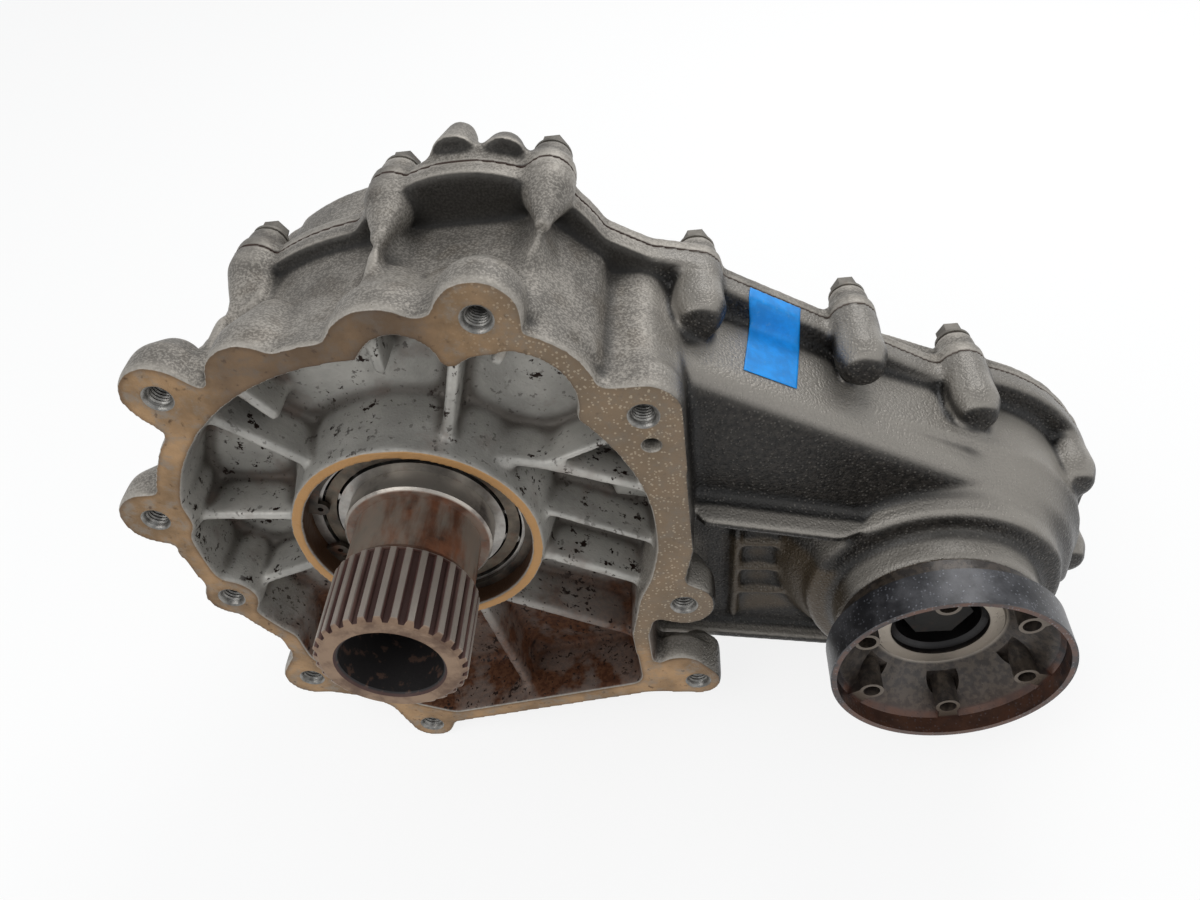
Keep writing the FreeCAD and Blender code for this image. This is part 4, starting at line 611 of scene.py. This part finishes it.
def set_places(mesh, places):
    mesh.vertices.foreach_set("co", places.astype(np.float32).ravel())
    mesh.update()


def edge_ends(mesh):
    """The two vertices of each edge, and how many edges meet at each vertex."""
    ends = np.empty(len(mesh.edges) * 2, np.int32)
    mesh.edges.foreach_get("vertices", ends)
    counts = np.bincount(ends, minlength=len(mesh.vertices))
    return ends.reshape(-1, 2), np.maximum(counts, 1).astype(np.float64)


def neighbour_mean(places, ends, counts):
    """Mean of each vertex's neighbours."""
    total = np.empty_like(places)
    for axis in range(places.shape[1]):
        column = places[:, axis]
        total[:, axis] = (np.bincount(ends[:, 0], column[ends[:, 1]], len(places))
                          + np.bincount(ends[:, 1], column[ends[:, 0]], len(places)))
    return total / counts[:, None]


def write_attribute(mesh, name, values):
    layer = mesh.attributes.new(name, "FLOAT", "POINT")
    layer.data.foreach_set("value", values.astype(np.float32))


def cast_copy(node, name, held, shaped=None):
    """A casting's own mesh made even, with its inner corners filled and outer edges eased.

    held(places) gives 1 where a face is machined and keeps its exact place; shaped(places) first
    moves points where the foundry's taper is finer than the solid's."""
    look = settings("casting")
    rough = link("rough_" + name, NODES[node].data.copy())
    evener = rough.modifiers.new("even", "REMESH")
    evener.mode = "VOXEL"
    evener.voxel_size = look.voxel
    graph = bpy.context.evaluated_depsgraph_get()
    mesh = bpy.data.meshes.new_from_object(rough.evaluated_get(graph))
    bpy.data.objects.remove(rough)
    mesh.name = name
    mesh.materials.clear()
    ends, counts = edge_ends(mesh)
    places = vertex_rows(mesh, "co")
    free = 1 - held(places)
    slide = SLIDE_SHARE * slides(places)
    if shaped is not None:
        shaped(places)
    for _ in range(look.fillet_rounds):
        pull = neighbour_mean(places, ends, counts) - places
        rise = np.einsum("ij,ij->i", pull, vertex_rows(mesh, "normal"))
        share = np.where(rise > 0, FILL_SHARE, look.edge_ease) * free
        places += pull * share[:, None]
        places[:, 0] += pull[:, 0] * slide
        places[:, 2] += pull[:, 2] * slide
        set_places(mesh, places)
    # how far each point lies in a hollow or stands on an edge, for dirt, wear and painted shade in
    # the hollows
    facings = vertex_rows(mesh, "normal")
    calm = places.copy()
    for _ in range(CALM_PASSES):
        calm = neighbour_mean(calm, ends, counts)
    rise = np.einsum("ij,ij->i", calm - places, facings) / look.voxel
    for _ in range(SPREAD_PASSES):
        rise = (rise + neighbour_mean(rise[:, None], ends, counts)[:, 0]) / 2
    write_attribute(mesh, "cove", np.clip(rise, 0, 2))
    write_attribute(mesh, "edge", np.clip(-rise, 0, 2))
    mesh.shade_smooth()
    piece = link(name, mesh)
    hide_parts(node)
    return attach(piece, "case")


def ring_distance(places, x, z):
    """Distance of each point from the axis at (x, z), which runs along Y."""
    return np.hypot(places[:, 0] - x, places[:, 2] - z)


def slides(places):
    """Points of the bell face that may move within it, so that its outline runs smoothly."""
    free = (places[:, 1] < FACE_SLACK) & (ring_distance(places, 0, 0) > BOSS_RING)
    for x, z in TAPPED:
        free &= ring_distance(places, x, z) > HOLE_CLEAR
    return free.astype(np.float64)


def front_held(places):
    """Machined stretches of the front casting: bell face, boss bore, front output bore and seam."""
    y = places[:, 1]
    ring = ring_distance(places, 0, 0)
    out = ring_distance(places, OUT_X, OUT_Z)
    held = (y < FACE_SLACK) | (y > SEAM_Y - SEAM_SLACK)
    held |= (ring < BOSS_BORE) & (y < BOSS_BORE_DEPTH)
    held |= (out < OUT_BORE) & (y < OUT_BORE_DEPTH)
    return held.astype(np.float64)


def ramp_between(values, low, high):
    """0 at low and 1 at high, straight between them; low may be the larger."""
    return np.clip((values - low) / (high - low), 0, 1)


def front_shaped(places):
    """Tapers the ribbed towers into their ribs and runs the ledge out to its thin front edge."""
    x, y, z = places[:, 0].copy(), places[:, 1].copy(), places[:, 2].copy()
    for tower_x, tower_z in RIBBED:
        near = ramp_between(ring_distance(places, tower_x, tower_z), *TOWER_REACH)
        above = ramp_between(np.maximum(np.hypot(x, z), z + CASE_SAG), *TOWER_FOOT)
        ahead = ramp_between(y, *TOWER_BACK) * ramp_between(y, *TOWER_FRONT)
        shrink = 1 - TOWER_SHRINK * near * above * ahead
        places[:, 0] = tower_x + (places[:, 0] - tower_x) * shrink
        places[:, 2] = tower_z + (places[:, 2] - tower_z) * shrink
    (x1, z1), (x2, z2) = LEDGE
    off = np.abs(z - (z1 + (z2 - z1) * (x - x1) / (x2 - x1)))
    inside = ramp_between(off, *LEDGE_WIDTH) * ramp_between(x, *LEDGE_LEFT)
    inside *= ramp_between(ring_distance(places, OUT_X, OUT_Z), *LEDGE_NOSE)
    places[:, 1] = y - LEDGE_REACH * inside * ramp_between(y, *LEDGE_DEPTH)


def rear_held(places):
    """Machined stretches of the rear casting: seam, rear boss's face and bore, foot's face."""
    y = places[:, 1]
    ring = ring_distance(places, 0, 0)
    held = (y < SEAM_Y + SEAM_SLACK) | (y > REAR_FACE)
    held |= (ring < REAR_BORE) & (y > REAR_BORE_START)
    held |= (places[:, 2] < FOOT_FACE)
    return held.astype(np.float64)


def open_tapped_holes(mesh):
    """Keeps the casting's hole walls clear of the threaded sleeves that line them."""
    places = vertex_rows(mesh, "co")
    for x, z in TAPPED:
        ring = ring_distance(places, x, z)
        near = (ring < HOLE_REACH) & (places[:, 1] < HOLE_DEPTH)
        front = near & (places[:, 1] < HOLE_FACE)
        places[front, 1] = 0
        reach = np.where(front, np.maximum(ring, HOLE_MOUTH), HOLE_WALL)
        scale = np.where(near, reach / np.maximum(ring, 1e-5), 1.0)
        places[:, 0] = x + (places[:, 0] - x) * scale
        places[:, 2] = z + (places[:, 2] - z) * scale
    set_places(mesh, places)


def surface_of(rows):
    """Mesh from a grid of points: rows of equal length, joined into quads."""
    points = [point for row in rows for point in row]
    width = len(rows[0])
    faces = [(r * width + c, r * width + c + 1, (r + 1) * width + c + 1, (r + 1) * width + c)
             for r in range(len(rows) - 1) for c in range(width - 1)]
    mesh = bpy.data.meshes.new("grid")
    mesh.from_pydata(points, [], faces)
    mesh.shade_smooth()
    return mesh


def threaded_sleeve(x, z):
    """Rows of one tapped hole: a countersunk mouth and a helical thread down to the tap's end."""
    pitch = settings("steel").thread_pitch
    around, steps = 36, 8
    turns = np.linspace(0, 1, around + 1)

    def point(radius, y, turn):
        angle = 2 * math.pi * turn
        return x + radius * math.cos(angle), y, z + radius * math.sin(angle)

    rows = [[point(radius, y, turn) for turn in turns] for radius, y in COUNTERSINK]
    for k in range(int(THREAD_DEPTH / pitch) * steps):
        wave = abs((k / steps % 1.0) - 0.5) * 2
        radius = THREAD_ROOT + THREAD_HEIGHT * wave
        rows.append([point(radius, THREAD_START + (k / steps + turn) * pitch, turn)
                     for turn in turns])
    return rows


def paint_over(node, material):
    """Gives a node of the frame this material and no other."""
    shown = NODES[node]
    shown.data.materials.clear()
    shown.data.materials.append(material)


def ease_edges(node, width):
    """Bevels a machined node's corners so that they catch the light."""
    bevel = NODES[node].modifiers.new("eased", "BEVEL")
    bevel.width = width
    bevel.segments = EASE_SEGMENTS
    bevel.limit_method = "ANGLE"
    bevel.angle_limit = EASE_ANGLE
    bevel.harden_normals = False


# ---------------------------------------------------------------- operators


class TRANSFERCASE_OT_front_casting(bpy.types.Operator):
    """Front housing with its bell, chain case and oily, oxidised skin"""

    bl_idname = "transfer_case.front_casting"
    bl_label = "Front casting"

    def execute(self, context):
        piece = cast_copy("front_housing", "front_casting", front_held, front_shaped)
        open_tapped_holes(piece.data)
        piece.data.materials.append(casting_paint("front_cast_aluminium", True))
        return {"FINISHED"}


class TRANSFERCASE_OT_rear_casting(bpy.types.Operator):
    """Rear housing with its foot and output boss"""

    bl_idname = "transfer_case.rear_casting"
    bl_label = "Rear casting"

    def execute(self, context):
        piece = cast_copy("rear_housing", "rear_casting", rear_held)
        piece.data.materials.append(casting_paint("rear_cast_aluminium", False))
        return {"FINISHED"}


class TRANSFERCASE_OT_threads(bpy.types.Operator):
    """Tapped threads of the bell face's holes"""

    bl_idname = "transfer_case.threads"
    bl_label = "Tapped threads"

    def execute(self, context):
        paint = steel_paint("tapped_aluminium", (0.13, 0.125, 0.115), (0.32, 0.31, 0.29), 0.34, 0.8,
                            0.1, 200)
        for number, (x, z) in enumerate(TAPPED, start=1):
            mesh = surface_of(threaded_sleeve(x, z))
            mesh.materials.append(paint)
            piece = link("bell_thread_%d" % number, mesh)
            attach(piece, "case")
        return {"FINISHED"}


class TRANSFERCASE_OT_label(bpy.types.Operator):
    """Bare blue label that follows the casting from the seam flange down over the chain case"""

    bl_idname = "transfer_case.label"
    bl_label = "Label"

    def execute(self, context):
        label = settings("label")
        casting = bpy.data.objects["front_casting"]
        context.view_layer.update()
        tree = BVHTree.FromObject(casting, context.evaluated_depsgraph_get())
        rows = []
        for y in np.linspace(LABEL_TOP, LABEL_FOOT, LABEL_ROWS):
            row = []
            for share in np.linspace(-1, 1, LABEL_COLUMNS):
                x = LABEL_X + label.width / 2 * share - LABEL_LEAN * (LABEL_TOP - y)
                hit = tree.ray_cast(Vector((x, y, ABOVE_ALL)), Vector((0, 0, -1)))[0]
                if hit is None:
                    raise RuntimeError("the label found no casting under it")
                row.append(hit)
            rows.append(row)
        mesh = surface_of(rows)
        places = vertex_rows(mesh, "co")
        ends, counts = edge_ends(mesh)
        inner = counts > 3
        floor = places[:, 2].copy()
        for _ in range(LABEL_PASSES):
            calm = neighbour_mean(places, ends, counts)
            places[inner] = (places[inner] + calm[inner]) / 2
            places[:, 2] = np.maximum(places[:, 2], floor)
        places[:, 2] += label.lift
        set_places(mesh, places)
        mesh.materials.append(label_paint())
        piece = link("blue_label", mesh)
        thickness = piece.modifiers.new("film", "SOLIDIFY")
        thickness.thickness = FILM_THICKNESS
        thickness.offset = 1
        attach(piece, "case")
        return {"FINISHED"}


class TRANSFERCASE_OT_shafts(bpy.types.Operator):
    """Input shaft, flanges, nuts and output shafts"""

    bl_idname = "transfer_case.shafts"
    bl_label = "Shafts and flanges"

    def execute(self, context):
        paint_over("input_shaft", shaft_paint())
        paint_over("front_output_flange", joint_flange_paint())
        rear = steel_paint("rear_flange_steel", (0.060, 0.052, 0.046), (0.155, 0.135, 0.115), 0.48,
                           0.55, 0.5)
        paint_over("rear_output_flange", rear)
        turned = steel_paint("turned_steel", (0.10, 0.09, 0.08), (0.26, 0.24, 0.22), 0.38, 0.8,
                             0.25)
        # oil and painted shade: nuts and the front output shaft's end are painted near black so the
        # flange's bore reads dark
        nut = steel_paint("nut_steel", (0.004, 0.004, 0.004), (0.016, 0.014, 0.012), 0.60, 0.2, 0.1)
        paint_over("rear_output_shaft", turned)
        for node in ("front_output_nut", "rear_output_nut", "front_output_shaft"):
            paint_over(node, nut)
            ease_edges(node, EASE_FLANGE)
        ease_edges("input_shaft", EASE_SPLINES)
        ease_edges("front_output_flange", EASE_FLANGE)
        ease_edges("rear_output_flange", EASE_FLANGE)
        return {"FINISHED"}


class TRANSFERCASE_OT_running_gear(bpy.types.Operator):
    """Bearings, seals, gears, chain, bolts and the other small pieces"""

    bl_idname = "transfer_case.running_gear"
    bl_label = "Running gear and fasteners"

    def execute(self, context):
        finishes = [(words, steel_paint(*finish)) for words, finish in GEAR_FINISHES]
        finishes.append((("seal",), rubber_paint()))
        for node in NODES:
            for words, paint in finishes:
                if any(word in node for word in words):
                    paint_over(node, paint)
                    break
        for node in ("housing_bolts", "fill_plug", "drain_plug", "breather"):
            ease_edges(node, EASE_FASTENER)
        ease_edges("input_snap_ring", EASE_RING)
        return {"FINISHED"}


class TRANSFERCASE_OT_stage(bpy.types.Operator):
    """Pale floor, soft boxes and the camera"""

    bl_idname = "transfer_case.stage"
    bl_label = "Studio"

    def execute(self, context):
        self.floor()
        self.world(context)
        for name, place, share, size in SOFT_BOXES:
            self.soft_box(context, name, place, settings("stage").key_power * share, size)
        self.camera(context)
        context.scene.view_settings.view_transform = "Standard"
        return {"FINISHED"}

    def floor(self):
        corners = [(FLOOR_SIDE * a, FLOOR_SIDE * b, FLOOR_Z)
                   for a, b in ((-1, -1), (1, -1), (1, 1), (-1, 1))]
        mesh = bpy.data.meshes.new("floor")
        mesh.from_pydata(corners, [], [(0, 1, 2, 3)])
        floor = link("floor", mesh)
        p = new_paint("floor_paint")
        camera_ray, glossy_ray = (p.node("ShaderNodeLightPath", output=i) for i in (0, 3))
        seen = camera_ray.most(glossy_ray)
        matt = p.node("ShaderNodeBsdfDiffuse", sockets={"Color": tuple(settings("stage").floor)})
        glow = p.node("ShaderNodeEmission", sockets={"Color": WHITE, "Strength": FLOOR_GLOW})
        share = seen * FLOOR_GLOW_SHARE
        mixed = p.node("ShaderNodeMixShader", sockets={0: share, 1: matt, 2: glow})
        p.node("ShaderNodeOutputMaterial", sockets={"Surface": mixed})
        mesh.materials.append(p.owner)

    def world(self, context):
        world = bpy.data.worlds.new("studio")
        context.scene.world = world
        p = Paint(world)
        camera_ray = p.node("ShaderNodeLightPath", output=0)
        sky = p.node("ShaderNodeBackground", sockets={"Color": SKY, "Strength": SKY_LIGHT})
        white = p.node("ShaderNodeBackground", sockets={"Color": WHITE, "Strength": 1.0})
        mixed = p.node("ShaderNodeMixShader", sockets={0: camera_ray, 1: sky, 2: white})
        p.node("ShaderNodeOutputWorld", sockets={"Surface": mixed})

    def soft_box(self, context, name, place, power, size):
        lamp = bpy.data.lights.new(name, "AREA")
        lamp.energy = power
        lamp.size = size
        box = bpy.data.objects.new(name, lamp)
        box.location = place
        box.rotation_mode = "QUATERNION"
        box.rotation_quaternion = (Vector(LAMP_AIM) - Vector(place)).to_track_quat("-Z", "Y")
        context.scene.collection.objects.link(box)

    def camera(self, context):
        lens = bpy.data.cameras.new("camera")
        lens.lens = settings("stage").lens
        lens.clip_start = 0.01
        camera = bpy.data.objects.new("camera", lens)
        context.scene.collection.objects.link(camera)
        ahead = Vector(CAMERA_AHEAD).normalized()
        right = Vector(CAMERA_RIGHT)
        right = (right - ahead * right.dot(ahead)).normalized()
        up = right.cross(ahead)
        turn = Matrix((right, up, -ahead)).transposed()
        camera.matrix_world = Matrix.Translation(CAMERA_PLACE) @ turn.to_4x4()
        context.scene.camera = camera


# ---------------------------------------------------------------- panel and registration

STEPS = [
    TRANSFERCASE_OT_front_casting, TRANSFERCASE_OT_rear_casting, TRANSFERCASE_OT_threads,
    TRANSFERCASE_OT_label, TRANSFERCASE_OT_shafts, TRANSFERCASE_OT_running_gear,
    TRANSFERCASE_OT_stage,
]
GROUPS = {"casting": CastingSettings, "steel": SteelSettings, "label": LabelSettings,
          "stage": StageSettings}


class TRANSFERCASE_PT_sidebar(bpy.types.Panel):
    """Lists the steps that dress the transfer case"""

    bl_idname = "TRANSFERCASE_PT_sidebar"
    bl_label = "Transfer case"
    bl_space_type = "VIEW_3D"
    bl_region_type = "UI"
    bl_category = "Transfer case"

    def draw(self, context):
        for step in STEPS:
            self.layout.operator(step.bl_idname)
        for name, group in GROUPS.items():
            box = self.layout.box()
            for field in group.__annotations__:
                box.prop(settings(name), field)


def register():
    for made in [*GROUPS.values(), *STEPS, TRANSFERCASE_PT_sidebar]:
        bpy.utils.register_class(made)
    for name, group in GROUPS.items():
        setattr(bpy.types.Scene, "transfer_case_" + name, PointerProperty(type=group))


def unregister():
    for name in GROUPS:
        delattr(bpy.types.Scene, "transfer_case_" + name)
    for made in reversed([*GROUPS.values(), *STEPS, TRANSFERCASE_PT_sidebar]):
        bpy.utils.unregister_class(made)


def main():
    register()
    for step in STEPS:
        name = step.bl_idname.split(".")[1]
        getattr(bpy.ops.transfer_case, name)()


if __name__ == "__main__":
    main()
